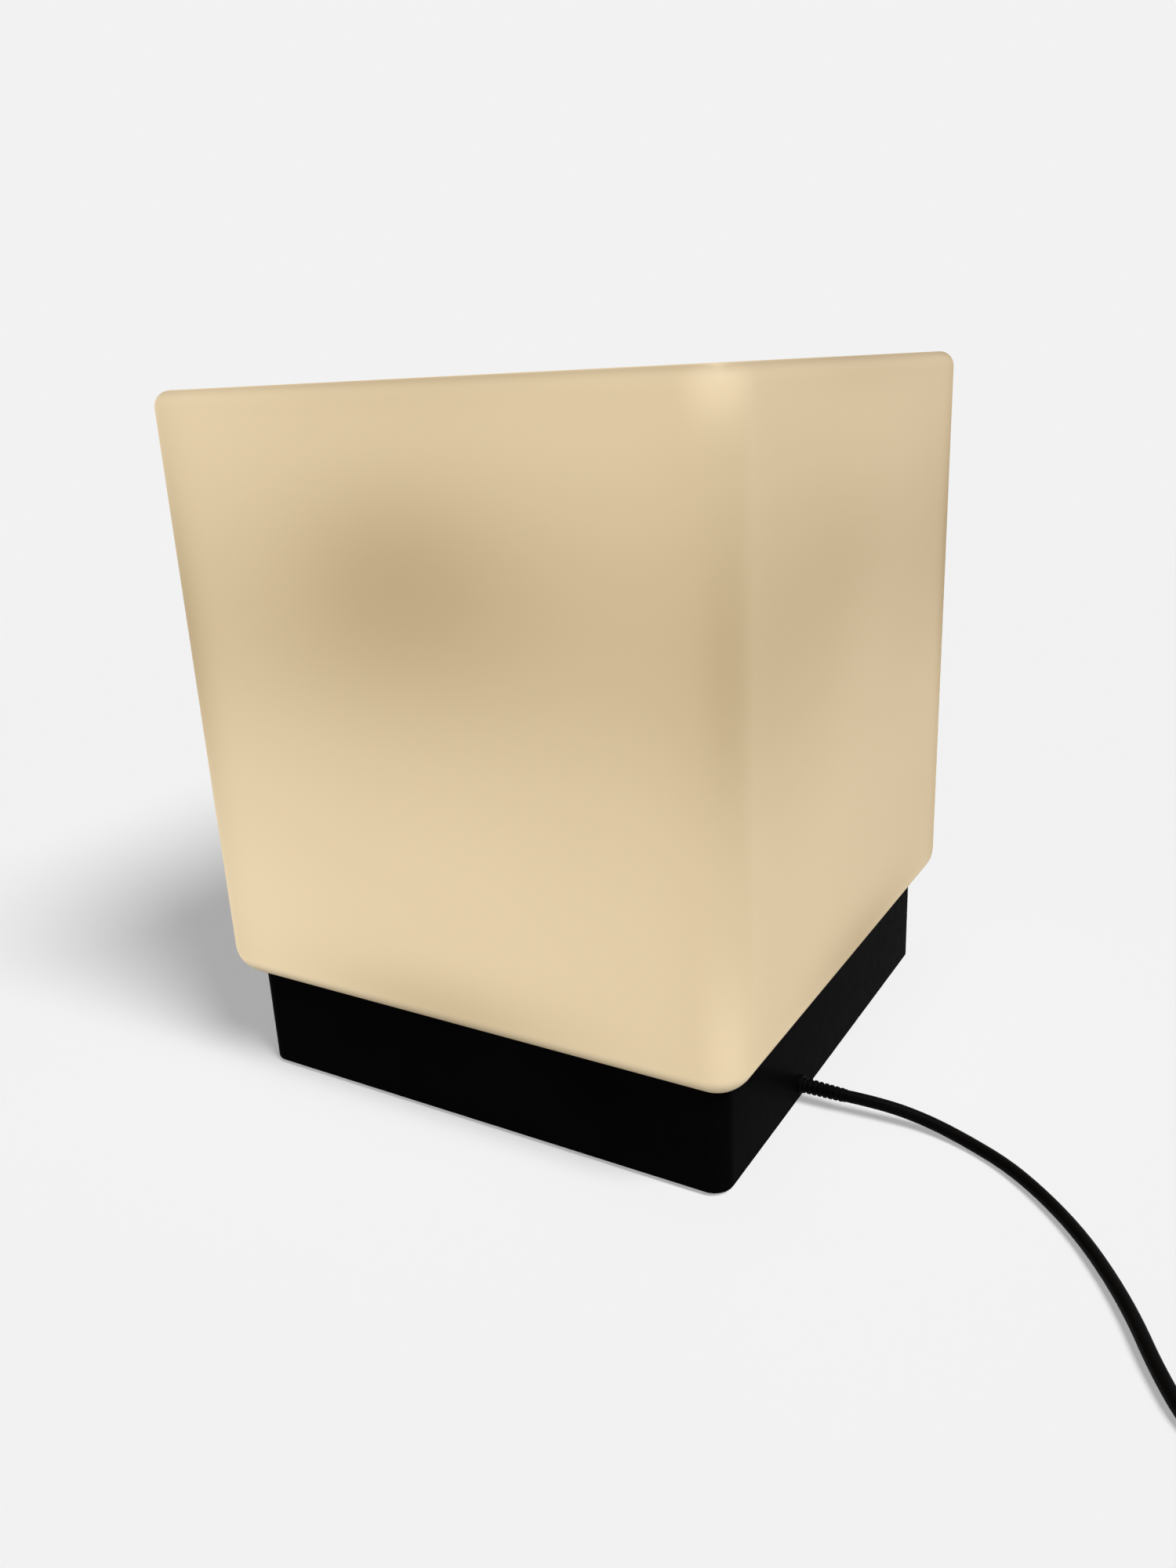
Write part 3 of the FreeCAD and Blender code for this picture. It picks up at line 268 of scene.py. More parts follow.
COIL_LAYERS, LAYER_TURNS = 4, 2
CLIMB_TURNS = 0.5  # the part of a turn in which the lead climbs to the next layer
TURN_POINTS = 16


def coil_route():
    """The wound length, from its lowest outer turn to its highest, in layers that wind in and out."""
    points = []
    outset = 1 / math.cos(math.pi / TURN_POINTS)
    for i in range(1, COIL_LAYERS * LAYER_TURNS * TURN_POINTS):
        turns = i / TURN_POINTS
        layer = int(turns // LAYER_TURNS)
        share = turns / LAYER_TURNS - layer
        if layer % 2:
            share = 1 - share
        radius = (COIL_OUTER + (COIL_INNER - COIL_OUTER) * share) * outset
        level = COIL_LOW
        for change in range(1, COIL_LAYERS):
            climb = (turns - change * LAYER_TURNS + CLIMB_TURNS / 2) / CLIMB_TURNS
            climb = min(max(climb, 0), 1)
            level += COIL_PITCH * climb * climb * (3 - 2 * climb)
        x, y = polar(radius, 360 * turns)
        points.append((COIL_CENTRE[0] + x, COIL_CENTRE[1] + y, level))
    return points


# ---- finishes
def finish(name, colour, roughness, ior=1.5, metallic=0.0, specular=0.5):
    """A new finish: its shader with the plain values on it, and its place on the object in metres."""
    material = bpy.data.materials.new(name)
    tree = blank_tree(material)
    shader = add(tree, "ShaderNodeBsdfPrincipled", {
        "Base Color": linear(colour), "Roughness": roughness, "IOR": ior, "Metallic": metallic,
        "Specular IOR Level": specular,
    })
    add(tree, "ShaderNodeOutputMaterial", {"Surface": shader})
    where = add(tree, "ShaderNodeTexCoord").outputs["Object"]
    return material, tree, shader, where


def noise(tree, where, size, detail=2.0):
    """Noise whose blotches are about size millimetres across."""
    return add(tree, "ShaderNodeTexNoise", {"Vector": where, "Scale": 1000 / size, "Detail": detail})


def ramp(tree, value, start, end, low, high, kind="SMOOTHSTEP"):
    """A value that goes from low to high as another goes from start to end."""
    return add(tree, "ShaderNodeMapRange", {0: value, 1: start, 2: end, 3: low, 4: high},
               interpolation_type=kind)


def spread(tree, source, low, high):
    """Noise, which seldom leaves 0.3 to 0.7, as a value from low to high."""
    return ramp(tree, source, 0.3, 0.7, low, high, "LINEAR")


def vary_colour(tree, shader, source, one, other, into="Base Color", **settings):
    """One colour where the source is 0 and the other where it is 1."""
    mixed = add(tree, "ShaderNodeMix", {"Factor": source, 6: linear(one), 7: linear(other)},
                data_type="RGBA", **settings)
    tree.links.new(mixed.outputs[2], shader.inputs[into])


def cloud_colour(tree, shader, source, one, other):
    """Noise as soft patches of two near colours."""
    vary_colour(tree, shader, spread(tree, source, 0, 1), one, other)


def vary_roughness(tree, shader, source, low, high):
    tree.links.new(spread(tree, source, low, high).outputs[0], shader.inputs["Roughness"])


def bump(tree, shader, source, height):
    """Relief of a height in millimetres."""
    made = add(tree, "ShaderNodeBump", {"Height": source, "Distance": height * MM, "Strength": 1.0})
    tree.links.new(made.outputs[0], shader.inputs["Normal"])


def moulded(name, colours, grain, depth, roughness, specular=0.5):
    """A moulded plastic: two near colours in soft blotches, and a spark-eroded grain of a size in mm."""
    material, tree, shader, where = finish(name, colours[0], roughness, 1.53, specular=specular)
    cloud_colour(tree, shader, noise(tree, where, 18), *colours)
    fine = noise(tree, where, grain, 1.0)
    vary_roughness(tree, shader, fine, roughness - 0.05, roughness + 0.06)
    bump(tree, shader, fine, depth)
    return material


def calc(tree, operation, *values, kind="ShaderNodeMath"):
    """A number worked out from plain values, other nodes or their outputs."""
    return add(tree, kind, dict(enumerate(values)), operation=operation)


def calc_vector(tree, operation, *values):
    return calc(tree, operation, *values, kind="ShaderNodeVectorMath")


def times(tree, one, other):
    return calc(tree, "MULTIPLY", one, other)


def plus(tree, one, other):
    return calc(tree, "ADD", one, other)


def from_axis(tree, where):
    """How far a place is from the upright axis."""
    flat = calc_vector(tree, "MULTIPLY", where, (1, 1, 0))
    return calc_vector(tree, "LENGTH", flat).outputs["Value"]


def bell(tree, value, middle, width):
    """A smooth hump of height 1 where a value in metres is near a middle, both of these in millimetres."""
    apart = calc(tree, "SUBTRACT", value, middle * MM)
    scaled = calc(tree, "DIVIDE", apart, width * MM)
    square = times(tree, scaled, scaled)
    return calc(tree, "POWER", math.e, times(tree, square, -1.0))


# The glow, with painted light and shade on it, goes from the dim colour at 0 to the bright one at 1, and a
# little beyond both.
OPAL_BRIGHT, OPAL_DIM = "#E0CBA5", "#937A4D"
GLOW_LEVEL, GLOW_DRIFT = 0.880, 0.02  # of the whole cube, and its cloudiness
SIDE_SHADE_SLOPE = -0.110  # painted shade: an even slope across the cube
SIDE_SHADE_STEP, SIDE_SHADE_HALF = -0.155, 0.16  # painted shade: a darker step from one pair of faces to the other, and half its width
RIM_SHADE_WEIGHT, RIM_SHADE_UP, RIM_SHADE_OUT = -0.4, (296, 2.5), (121, 3.5)  # painted shade: a dim line round the top's rounded edge
ROLL_SHADE_FROM, ROLL_SHADE_TO, ROLL_SHADE_LEVEL = 49, 57, 0.4  # painted shade: the rolled-in bottom glows less, darkest at its foot
# A hump is (middle, width) in mm. Near are the upright edges at (+x, -y) and (-x, +y), far the ones at
# (+x, +y) and (-x, -y), and slant goes from -1 at (-x, -y) to 1 at (+x, +y).
GLOW_AND_SHADE_TERMS = (
    # weight, hump across the face from its middle, hump in height, and where on the cube
    (-0.27, None, (212, 55), "all"),  # dim band above the middle
    (-0.14, (0, 55), (232, 33), "all"),  # soft dim patch on each face
    (0.13, (0, 75), (195, 30), "slant"),  # painted light and shade that set it lower on one face than on the other
    (-0.11, (120, 6), (203, 50), "near"),  # dim stripe up an edge
    (-0.28, (121, 13), (205, 60), "far"),  # painted shade: a darker rim up an edge
    (-0.24, (121, 13), None, "far"),  # painted shade, which is weaker low down and at the top
    (-0.08, (121, 13), None, "slant"),  # painted shade that differs from one edge to the other
    (0.18, (120, 7), (66, 28), "near"),  # an edge is brighter again at its foot
    (0.31, (120, 9), (292, 12), "near"),  # and at its top
    (-0.12, (0, 70), (298, 14), "all"),  # dimmer along the middle of the top
    (-0.32, (0, 60), (54, 18), "all"),  # and painted shade just over the rolled bottom
    (-0.06, None, (85, 35), "slant"),  # painted light and shade: faces differ at their foot
    (0.28, (0, 55), (235, 40), "slant"),  # painted light and shade above their middle
    (0.04, (0, 60), (80, 25), "slant"),  # painted light and shade low on their middle
)


def satin_opal_glass():
    """Opal glass blown in a mould and etched satin: it glows in soft steps, with painted light and shade on
    the glow, and hides the light source.
    """
    material, tree, shader, where = finish("satin opal glass", "#4F4B45", 0.5, 1.5, specular=0.1)
    x, y, height = add(tree, "ShaderNodeSeparateXYZ", {0: where}).outputs
    wide, deep = calc(tree, "ABSOLUTE", x), calc(tree, "ABSOLUTE", y)
    across, outward = calc(tree, "MINIMUM", wide, deep), calc(tree, "MAXIMUM", wide, deep)
    # slant, and the step and slope worked out from it, carry painted light and shade that differ from one
    # side of the cube to the other.
    slant = times(tree, plus(tree, x, y), 1 / (SIDE * MM))
    turn = ramp(tree, slant, -SIDE_SHADE_HALF, SIDE_SHADE_HALF, 0.0, SIDE_SHADE_STEP)
    # far_edges marks the two far upright edges, where painted shade darkens the glass.
    far_edges = times(tree, slant, slant)
    near_edges = plus(tree, times(tree, far_edges, -1.0), 1.0)
    edges = {"far": far_edges, "near": near_edges, "slant": slant}
    glow = spread(tree, noise(tree, where, 130, 1.0), GLOW_LEVEL - GLOW_DRIFT, GLOW_LEVEL + GLOW_DRIFT)
    glow = plus(tree, glow, plus(tree, turn, times(tree, slant, SIDE_SHADE_SLOPE)))
    for weight, sideways, upwards, which in GLOW_AND_SHADE_TERMS:
        term = bell(tree, height, *upwards) if upwards else None
        if sideways:
            hump = bell(tree, across, *sideways)
            term = times(tree, term, hump) if term else hump
        if which in edges:
            term = times(tree, term, edges[which])
        glow = plus(tree, glow, times(tree, term, weight))
    # Painted shade: a dim line round the top's rounded edge.
    rim = times(tree, bell(tree, height, *RIM_SHADE_UP), bell(tree, outward, *RIM_SHADE_OUT))
    glow = plus(tree, glow, times(tree, rim, RIM_SHADE_WEIGHT))
    vary_colour(tree, shader, glow, OPAL_DIM, OPAL_BRIGHT, "Emission Color", clamp_factor=False)
    # Painted shade: the rolled-in bottom glows less, darkest at its foot.
    rolled = ramp(tree, height, ROLL_SHADE_FROM * MM, ROLL_SHADE_TO * MM, ROLL_SHADE_LEVEL, 1.0)
    tree.links.new(rolled.outputs[0], shader.inputs["Emission Strength"])
    bump(tree, shader, noise(tree, where, 0.9, 1.0), 0.006)
    return material


def gloss_black_moulding():
    """ABS moulded black against a polished tool: a soft dark sheen and no grain to see."""
    material, tree, shader, where = finish("black moulded ABS", "#070607", 0.38, 1.53, specular=0.0012)
    cloud_colour(tree, shader, noise(tree, where, 40), "#070607", "#0A090A")
    vary_roughness(tree, shader, noise(tree, where, 6, 4.0), 0.3, 0.4)
    bump(tree, shader, noise(tree, where, 3.5, 2.0), 0.01)
    return material


def pvc_sheath():
    """Black PVC drawn over the cores: smooth, with a faint waviness from the extruder."""
    material, tree, shader, where = finish("extruded black PVC", "#050505", 0.45, 1.53, specular=0.02)
    cloud_colour(tree, shader, noise(tree, where, 9), "#040404", "#070606")
    bump(tree, shader, noise(tree, where, 1.6, 2.0), 0.02)
    return material


def insulation(name, colours):
    """Thin glossy PVC over a core."""
    return moulded(name, colours, 1.4, 0.01, 0.3)


def silicone_rubber():
    """Cast translucent white silicone: matt, and it picks up dust."""
    material, tree, shader, where = finish("white silicone rubber", "#E2E1DC", 0.62, 1.41)
    cloud_colour(tree, shader, noise(tree, where, 5, 5.0), "#DCDBD5", "#E8E7E3")
    bump(tree, shader, noise(tree, where, 0.8, 2.0), 0.02)
    return material


def foot_rubber():
    """Moulded black rubber, matt, with a faint grey bloom in patches."""
    material, tree, shader, where = finish("black rubber", "#161616", 0.75, 1.52, specular=0.3)
    cloud_colour(tree, shader, noise(tree, where, 2.5, 6.0), "#131313", "#232322")
    bump(tree, shader, noise(tree, where, 0.7, 3.0), 0.04)
    return material


def clear_polycarbonate():
    """Moulded clear polycarbonate: glossy and all but colourless."""
    material, tree, shader, where = finish("clear polycarbonate", "#F4F6F4", 0.06, 1.585)
    shader.inputs["Transmission Weight"].default_value = 0.92
    vary_roughness(tree, shader, noise(tree, where, 12, 3.0), 0.04, 0.11)
    bump(tree, shader, noise(tree, where, 7, 1.0), 0.01)
    return material


def rolled_aluminium():
    """Plain rolled aluminium sheet: fine lines along the rolling direction."""
    material, tree, shader, where = finish("rolled aluminium", "#D8D9DB", 0.34, metallic=1.0)
    lines = add(tree, "ShaderNodeMapping", {"Vector": where, "Scale": (0.02, 1.0, 1.0)})
    grain = noise(tree, lines, 0.35, 3.0)
    cloud_colour(tree, shader, grain, "#CFD1D4", "#E0E1E3")
    vary_roughness(tree, shader, grain, 0.28, 0.45)
    bump(tree, shader, grain, 0.004)
    return material


def ring_of_tracks(tree, where, pitch, share):
    """Round copper tracks a pitch apart in millimetres, as a value that is 1 on a track."""
    step = calc(tree, "DIVIDE", from_axis(tree, where), pitch * MM)
    return calc(tree, "LESS_THAN", calc(tree, "FRACT", step), share)


def white_solder_mask():
    """White solder mask over copper tracks on an aluminium-backed board: satin, the tracks just raised."""
    material, tree, shader, where = finish("white solder mask", "#E9E9E4", 0.4, 1.5)
    tracks = ring_of_tracks(tree, where, 7.5, 0.82)
    vary_colour(tree, shader, tracks, "#D3D4CC", "#ECECE7")
    bump(tree, shader, tracks, 0.05)
    return material


def phosphor():
    """Yellow phosphor in clear silicone over a lit die."""
    material, tree, shader, where = finish("yellow phosphor", "#E8BE3C", 0.25, 1.41)
    cloud_colour(tree, shader, noise(tree, where, 0.5, 3.0), "#E2B434", "#F0CB52")
    shader.inputs["Emission Color"].default_value = linear("#FFE0B0")
    shader.inputs["Emission Strength"].default_value = 1.2
    return material


def zinc_plate():
    """Bright zinc over cold-headed steel: bluish, faintly cloudy."""
    material, tree, shader, where = finish("zinc-plated steel", "#B9BCC2", 0.3, metallic=1.0)
    cloud = noise(tree, where, 1.2, 4.0)
    cloud_colour(tree, shader, cloud, "#AEB2BA", "#C6C8CC")
    vary_roughness(tree, shader, cloud, 0.24, 0.4)
    bump(tree, shader, cloud, 0.01)
    return material


def plain_brass():
    """Cut brass, slightly tarnished in patches."""
    material, tree, shader, where = finish("plain brass", "#D2B46A", 0.3, metallic=1.0)
    tarnish = noise(tree, where, 1.5, 4.0)
    cloud_colour(tree, shader, tarnish, "#B8944C", "#DCC07A")
    vary_roughness(tree, shader, tarnish, 0.42, 0.25)
    return material


def nickel_plate():
    """Nickel over drawn brass pins: warm grey, bright, with faint lines from drawing."""
    material, tree, shader, where = finish("nickel-plated brass", "#CBC6BA", 0.2, metallic=1.0)
    lines = add(tree, "ShaderNodeMapping", {"Vector": where, "Scale": (1.0, 0.04, 1.0)})
    drawn = noise(tree, lines, 0.25, 3.0)
    cloud_colour(tree, shader, drawn, "#BFBAAE", "#D4CFC4")
    vary_roughness(tree, shader, drawn, 0.16, 0.32)
    bump(tree, shader, drawn, 0.003)
    return material


def green_solder_mask():
    """Green solder mask: darker on the bare board, lighter over the copper."""
    material, tree, shader, where = finish("green solder mask", "#1B5A33", 0.32, 1.5)
    copper = add(tree, "ShaderNodeTexVoronoi", {"Vector": where, "Scale": 140.0}, distance="CHEBYCHEV",
                 feature="F1")
    areas = calc(tree, "LESS_THAN", copper.outputs["Distance"], 0.42)
    vary_colour(tree, shader, areas, "#123F24", "#1F6A3B")
    bump(tree, shader, areas, 0.04)
    return material


def ferrite_and_tape():
    """Grey-black pressed ferrite, with yellow polyester tape round the windings between its halves."""
    half_tape = 6.4
    material, tree, shader, where = finish("ferrite and tape", "#2A2A2C", 0.55, 1.9)
    along = add(tree, "ShaderNodeSeparateXYZ", {0: where}).outputs[0]
    apart = calc(tree, "ABSOLUTE", plus(tree, along, -DRIVER_MIDDLE[0] * MM))
    taped = calc(tree, "LESS_THAN", apart, half_tape * MM)
    vary_colour(tree, shader, taped, "#2B2B2E", "#D9A32B")
    bump(tree, shader, noise(tree, where, 0.5, 3.0), 0.02)
    return material


def shrunk_sleeve():
    """A dark blue sleeve shrunk over an aluminium can, whose bare top shows."""
    can_x, can_y = DRIVER_MIDDLE[0] + 24, DRIVER_MIDDLE[1]
    bare_radius, bare_from = 4.1, 21.3
    material, tree, shader, where = finish("shrunk PVC sleeve", "#16203C", 0.28, 1.53)
    height = add(tree, "ShaderNodeSeparateXYZ", {0: where}).outputs[2]
    from_can = calc_vector(tree, "ADD", where, (-can_x * MM, -can_y * MM, 0))
    inner = calc(tree, "LESS_THAN", from_axis(tree, from_can), bare_radius * MM)
    can = times(tree, inner, calc(tree, "GREATER_THAN", height, bare_from * MM))
    vary_colour(tree, shader, can, "#16203C", "#C9CBCE")
    bump(tree, shader, noise(tree, where, 4, 2.0), 0.03)
    return material


# ---- repeated pieces, by geometry nodes
def node_tree(name, sockets):
    """A tree that takes points and some values, and the node that hands them in."""
    tree = bpy.data.node_groups.new(name, "GeometryNodeTree")
    tree.interface.new_socket("Geometry", in_out="INPUT", socket_type="NodeSocketGeometry")
    tree.interface.new_socket("Geometry", in_out="OUTPUT", socket_type="NodeSocketGeometry")
    for label, kind in sockets:
        tree.interface.new_socket(label, in_out="INPUT", socket_type=f"NodeSocket{kind}")
    return tree, tree.nodes.new("NodeGroupInput")


def ends_in(tree, instances, given):
    """Makes the instances real, gives them their finish, and puts them out."""
    real = add(tree, "GeometryNodeRealizeInstances", {0: instances})
    dressed = add(tree, "GeometryNodeSetMaterial", {"Geometry": real, "Material": given.outputs["Finish"]})
    add(tree, "NodeGroupOutput", {0: dressed})


def screws_tree():
    """A screw on each point, each stopped at its own angle."""
    tree, given = node_tree("screws on points", [
        ("Screw", "Object"), ("Seed", "Int"), ("Finish", "Material"),
    ])
    one = add(tree, "GeometryNodeObjectInfo", {"Object": given.outputs["Screw"]})
    angle = add(tree, "FunctionNodeRandomValue", {
        "Min": (0, 0, 0), "Max": (0, 0, 2 * math.pi), "Seed": given.outputs["Seed"],
    }, data_type="FLOAT_VECTOR")
    placed = add(tree, "GeometryNodeInstanceOnPoints", {
        "Points": given.outputs["Geometry"], "Instance": one.outputs["Geometry"], "Rotation": angle,
    })
    ends_in(tree, placed, given)
    return tree


def ring_tree():
    """Packages in a ring, each turned to face its middle."""
    tree, given = node_tree("packages in a ring", [
        ("Package", "Object"), ("Count", "Int"), ("Radius", "Float"), ("Level", "Float"),
        ("Finish", "Material"),
    ])
    one = add(tree, "GeometryNodeObjectInfo", {"Object": given.outputs["Package"]})
    ring = add(tree, "GeometryNodeMeshCircle", {
        "Vertices": given.outputs["Count"], "Radius": given.outputs["Radius"],
    })
    up = add(tree, "ShaderNodeCombineXYZ", {2: given.outputs["Level"]})
    raised = add(tree, "GeometryNodeSetPosition", {"Geometry": ring, "Offset": up})
    spot = add(tree, "ShaderNodeSeparateXYZ", {0: add(tree, "GeometryNodeInputPosition")}).outputs
    facing = add(tree, "ShaderNodeCombineXYZ", {2: calc(tree, "ARCTAN2", spot[1], spot[0])})
    placed = add(tree, "GeometryNodeInstanceOnPoints", {
        "Points": raised, "Instance": one.outputs["Geometry"], "Rotation": facing,
    })
    ends_in(tree, placed, given)
    return tree


def grown(name, points, tree, values):
    """What a tree makes on a few points in millimetres, as a plain mesh object."""
    mesh = bpy.data.meshes.new(name + "_points")
    mesh.from_pydata(metres(points), [], [])
    holder = show(name + "_points", mesh)
    modifier = holder.modifiers.new("growth", "NODES")
    modifier.node_group = tree
    for item in tree.interface.items_tree:
        if item.in_out == "INPUT" and item.name in values:
            modifier[item.identifier] = values[item.name]
    made = as_mesh(holder, name)
    bpy.data.objects.remove(holder)
    return show(name, made)


def cut_recess(obj, width, length, depth, top):
    """Cuts a cross for the driver's tip into a screw head whose top is at a height in mm."""
    narrow = 0.55  # share of the cross's size that is left at its bottom
    cutters = []
    for a, b in ((length, width), (width, length)):
        rings = [[Vector((sx * a * k / 2, sy * b * k / 2, level))
                  for sx, sy in ((-1, -1), (1, -1), (1, 1), (-1, 1))]
                 for k, level in ((narrow, top - depth), (1.0, top), (1.0, top + 1))]
        cutter = solid("recess_cutter", *loft(rings), obj.data.materials[0])
        modifier = obj.modifiers.new("recess", "BOOLEAN")
        modifier.operation = "DIFFERENCE"
        modifier.solver = "EXACT"
        modifier.object = cutter
        cutters.append(cutter)
    mesh = as_mesh(obj, obj.name)
    obj.modifiers.clear()
    obj.data = mesh
    smooth(mesh, 35)
    for cutter in cutters:
        bpy.data.objects.remove(cutter)


SCREW_RADIUS, CORE_RADIUS, HEAD_RADIUS, SINK_RADIUS = 1.45, 1.15, 2.7, 3.2
HEAD_HEIGHT, HEAD_RIM = 1.7, 0.45
THREAD_PITCH = 1.0


def threads(low, high):
    """A shank's profile with its thread drawn as ridges."""
    made = [(0.5, low), (1.1, low + 0.5)]
    level = low + 0.6
    while level + THREAD_PITCH < high - 0.2:
        made += [(CORE_RADIUS, level), (SCREW_RADIUS, level + 0.35 * THREAD_PITCH),
                 (CORE_RADIUS, level + 0.7 * THREAD_PITCH)]
        level += THREAD_PITCH
    return made + [(1.3, high)]


def pan_screw(length, material):
    """A cross-head pan screw on its own axis, driven down, its head's underside at 0."""
    profile = threads(-length, 0) + [(HEAD_RADIUS, 0), (HEAD_RADIUS, HEAD_RIM)]
    for a in (math.radians(degrees) for degrees in (15, 30, 45, 60, 72)):
        up = HEAD_RIM + (HEAD_HEIGHT - HEAD_RIM) * math.sin(a)
        profile.append((HEAD_RADIUS * math.cos(a) ** 0.5, up))
    profile.append((1.15, HEAD_HEIGHT))
    screw = solid("pan_screw", *turned(profile, (0, 0, 0), steps=24), material)
    cut_recess(screw, width=0.62, length=2.9, depth=1.0, top=HEAD_HEIGHT)
    return screw


def sunk_screw(length, material):
    """A cross-head countersunk screw driven up from the face at 0. Its head is made facing up."""
    profile = threads(-length, -(SINK_RADIUS - SCREW_RADIUS)) + [(SINK_RADIUS, 0)]
    screw = solid("sunk_screw", *turned(profile, (0, 0, 0), steps=24), material)
    cut_recess(screw, width=0.66, length=3.2, depth=1.1, top=0)
    screw.data.transform(Matrix.Rotation(math.pi, 4, "X"))
    return screw


# ---- the opal cube
SIDE, WALL = 250.0, 3.0
EDGE, ROLL, CROWN = 15.0, 14.5, 6.5  # radii of the upright edges, the rolled bottom and the top's rim
SHADE_LOW, SHADE_HIGH = 46.0, 296.0
MOUTH, LAND = 86.0, 8.0  # the mouth's radius, and the flat glass round it
GRIND, GRIND_MIDDLE = 1.2, 0.35  # rounding of the mouth's ground edge
EDGE_STEPS, SIDE_STEPS, ROLL_STEPS, CROWN_STEPS = 12, 14, 10, 7
SIDE_SHARES = (0.004, 0.04, 0.12, 0.25, 0.4, 0.55, 0.7, 0.82, 0.92, 0.97, 0.995)
TOP_SHARES = (0.985, 0.9, 0.75, 0.5, 0.25)
SHARPEST = 0.3  # least radius of a ring's corners


def square_ring(half, corner, level):
    """A rounded square of points; each side has the same number, closer together by the corners."""
    ring = []
    straight = half - corner
    for quarter in range(4):
        turning = Matrix.Rotation(math.pi / 2 * quarter, 3, "Z")
        for i in range(1, SIDE_STEPS):
            share = i / SIDE_STEPS
            eased = 0.5 - 0.5 * math.cos(math.pi * share)
            ring.append(turning @ Vector((half, straight * (2 * eased - 1), level)))
        for i in range(EDGE_STEPS + 1):
            x, y = polar(corner, 90 * i / EDGE_STEPS)
            ring.append(turning @ Vector((straight + x, straight + y, level)))
    return ring


def round_ring(like, radius, level):
    """A circle whose points lie at the angles of another ring's points."""
    return [Vector((*(Vector((p.x, p.y)).normalized() * radius), level)) for p in like]


def shell_rings(depth):
    """The rings of the shell's face at a depth in the glass, from its flat bottom to its flat top."""
    half, low, high = SIDE / 2 - depth, SHADE_LOW + depth, SHADE_HIGH - depth
    edge, roll, crown = EDGE - depth, ROLL - depth, CROWN - depth
    rings = []
    for inset, up in quarter_round(roll, ROLL_STEPS):
        rings.append(square_ring(half - inset, max(edge - inset, SHARPEST), low + up))
    for share in SIDE_SHARES:
        rings.append(square_ring(half, edge, low + roll + (high - crown - low - roll) * share))
    for inset, down in reversed(quarter_round(crown, CROWN_STEPS)):
        rings.append(square_ring(half - inset, max(edge - inset, SHARPEST), high - down))
    for share in TOP_SHARES:
        rings.append(square_ring((half - crown) * share, (edge - crown) * share, high))
    return rings


def make_shade(material):
    """The blown cube: outer and inner faces joined round the ground edge of its mouth."""
    outer, inner = shell_rings(0.0), shell_rings(WALL)
    lip = [(MOUTH + LAND, WALL), (MOUTH + GRIND, WALL), (MOUTH + GRIND_MIDDLE, WALL - GRIND_MIDDLE),
           (MOUTH, WALL - GRIND), (MOUTH, GRIND), (MOUTH + GRIND_MIDDLE, GRIND_MIDDLE), (MOUTH + GRIND, 0),
           (MOUTH + LAND, 0)]
    rings = inner[::-1] + [round_ring(outer[0], radius, SHADE_LOW + up) for radius, up in lip] + outer
    shade = solid("shade_glass", *loft(rings), material, crease=60)
    return place(shade, "opal_glass", "shade", body="shade")


# ---- the lead and its fittings
BASE_SIDE, BASE_INNER = 114.5, 111.5
LEAD_Y, LEAD_Z = -39.0, 8.0


def ribbed(start_radius, end_radius, start, end, pitch, depth):
    """A tapered profile with round grooves that let it bend, clear of the cord inside it."""
    made = []
    count = int((end - start) / pitch)
    for i in range(count):
        for share, sink in ((0.0, 0.0), (0.45, 0.0), (0.6, 0.8), (0.75, 1.0), (0.9, 0.8)):
            far = start + (i + share) * pitch
            radius = start_radius + (end_radius - start_radius) * (far - start) / (end - start)
            made.append((max(radius - depth * sink, CORD_RADIUS + 0.06), far))
    return made + [(end_radius, end - 0.3), (end_radius - 0.25, end)]


def make_strain_relief(material):
    """Bush in the base's wall: lip, neck, shoulder and a ribbed tail that thins towards the cord."""
    wide, neck = 3.9, 3.3
    profile = [(wide - 0.3, BASE_INNER - 1.5), (wide, BASE_INNER - 1.2), (wide, BASE_INNER),
               (neck, BASE_INNER), (neck, BASE_SIDE),
               (wide, BASE_SIDE), (wide, BASE_SIDE + 1.1), (wide - 0.4, BASE_SIDE + 1.5)]
    profile += ribbed(3.25, 2.8, BASE_SIDE + 1.6, BASE_SIDE + 20, 2.3, 0.5)
    relief = solid("strain_relief_bush", *turned(profile, (0, LEAD_Y, LEAD_Z), "x"), material)
    return place(relief, "cord_sheath", "strain_relief")


def make_plug_relief(material):
    """The plug's ribbed tail, which thickens towards the plug."""
    profile = [(2.62, PLUG_BACK), (2.8, PLUG_BACK + 0.4)]
    profile += ribbed(2.8, 4.4, PLUG_BACK + 0.6, PLUG_BACK + 20, 2.4, 0.55)
    relief = solid("plug_relief_tail", *turned(profile, (PLUG_X, 0, PLUG_Z), "y"), material)
    return place(relief, "cord_sheath", "plug_relief")


def make_cord(material):
    """The whole mains lead in one piece, from the strain relief to the plug."""
    route = POWER_ROUTE + SWITCH_ROUTE + coil_route() + PLUG_ROUTE
    lead = curve_line("mains_lead", route, CORD_RADIUS, resolution=8, sides=4)
    lead.data.materials.append(material)
    place(lead, "cord_sheath", "power_cord", "switch_cord", "cord_coil", "plug_cord")


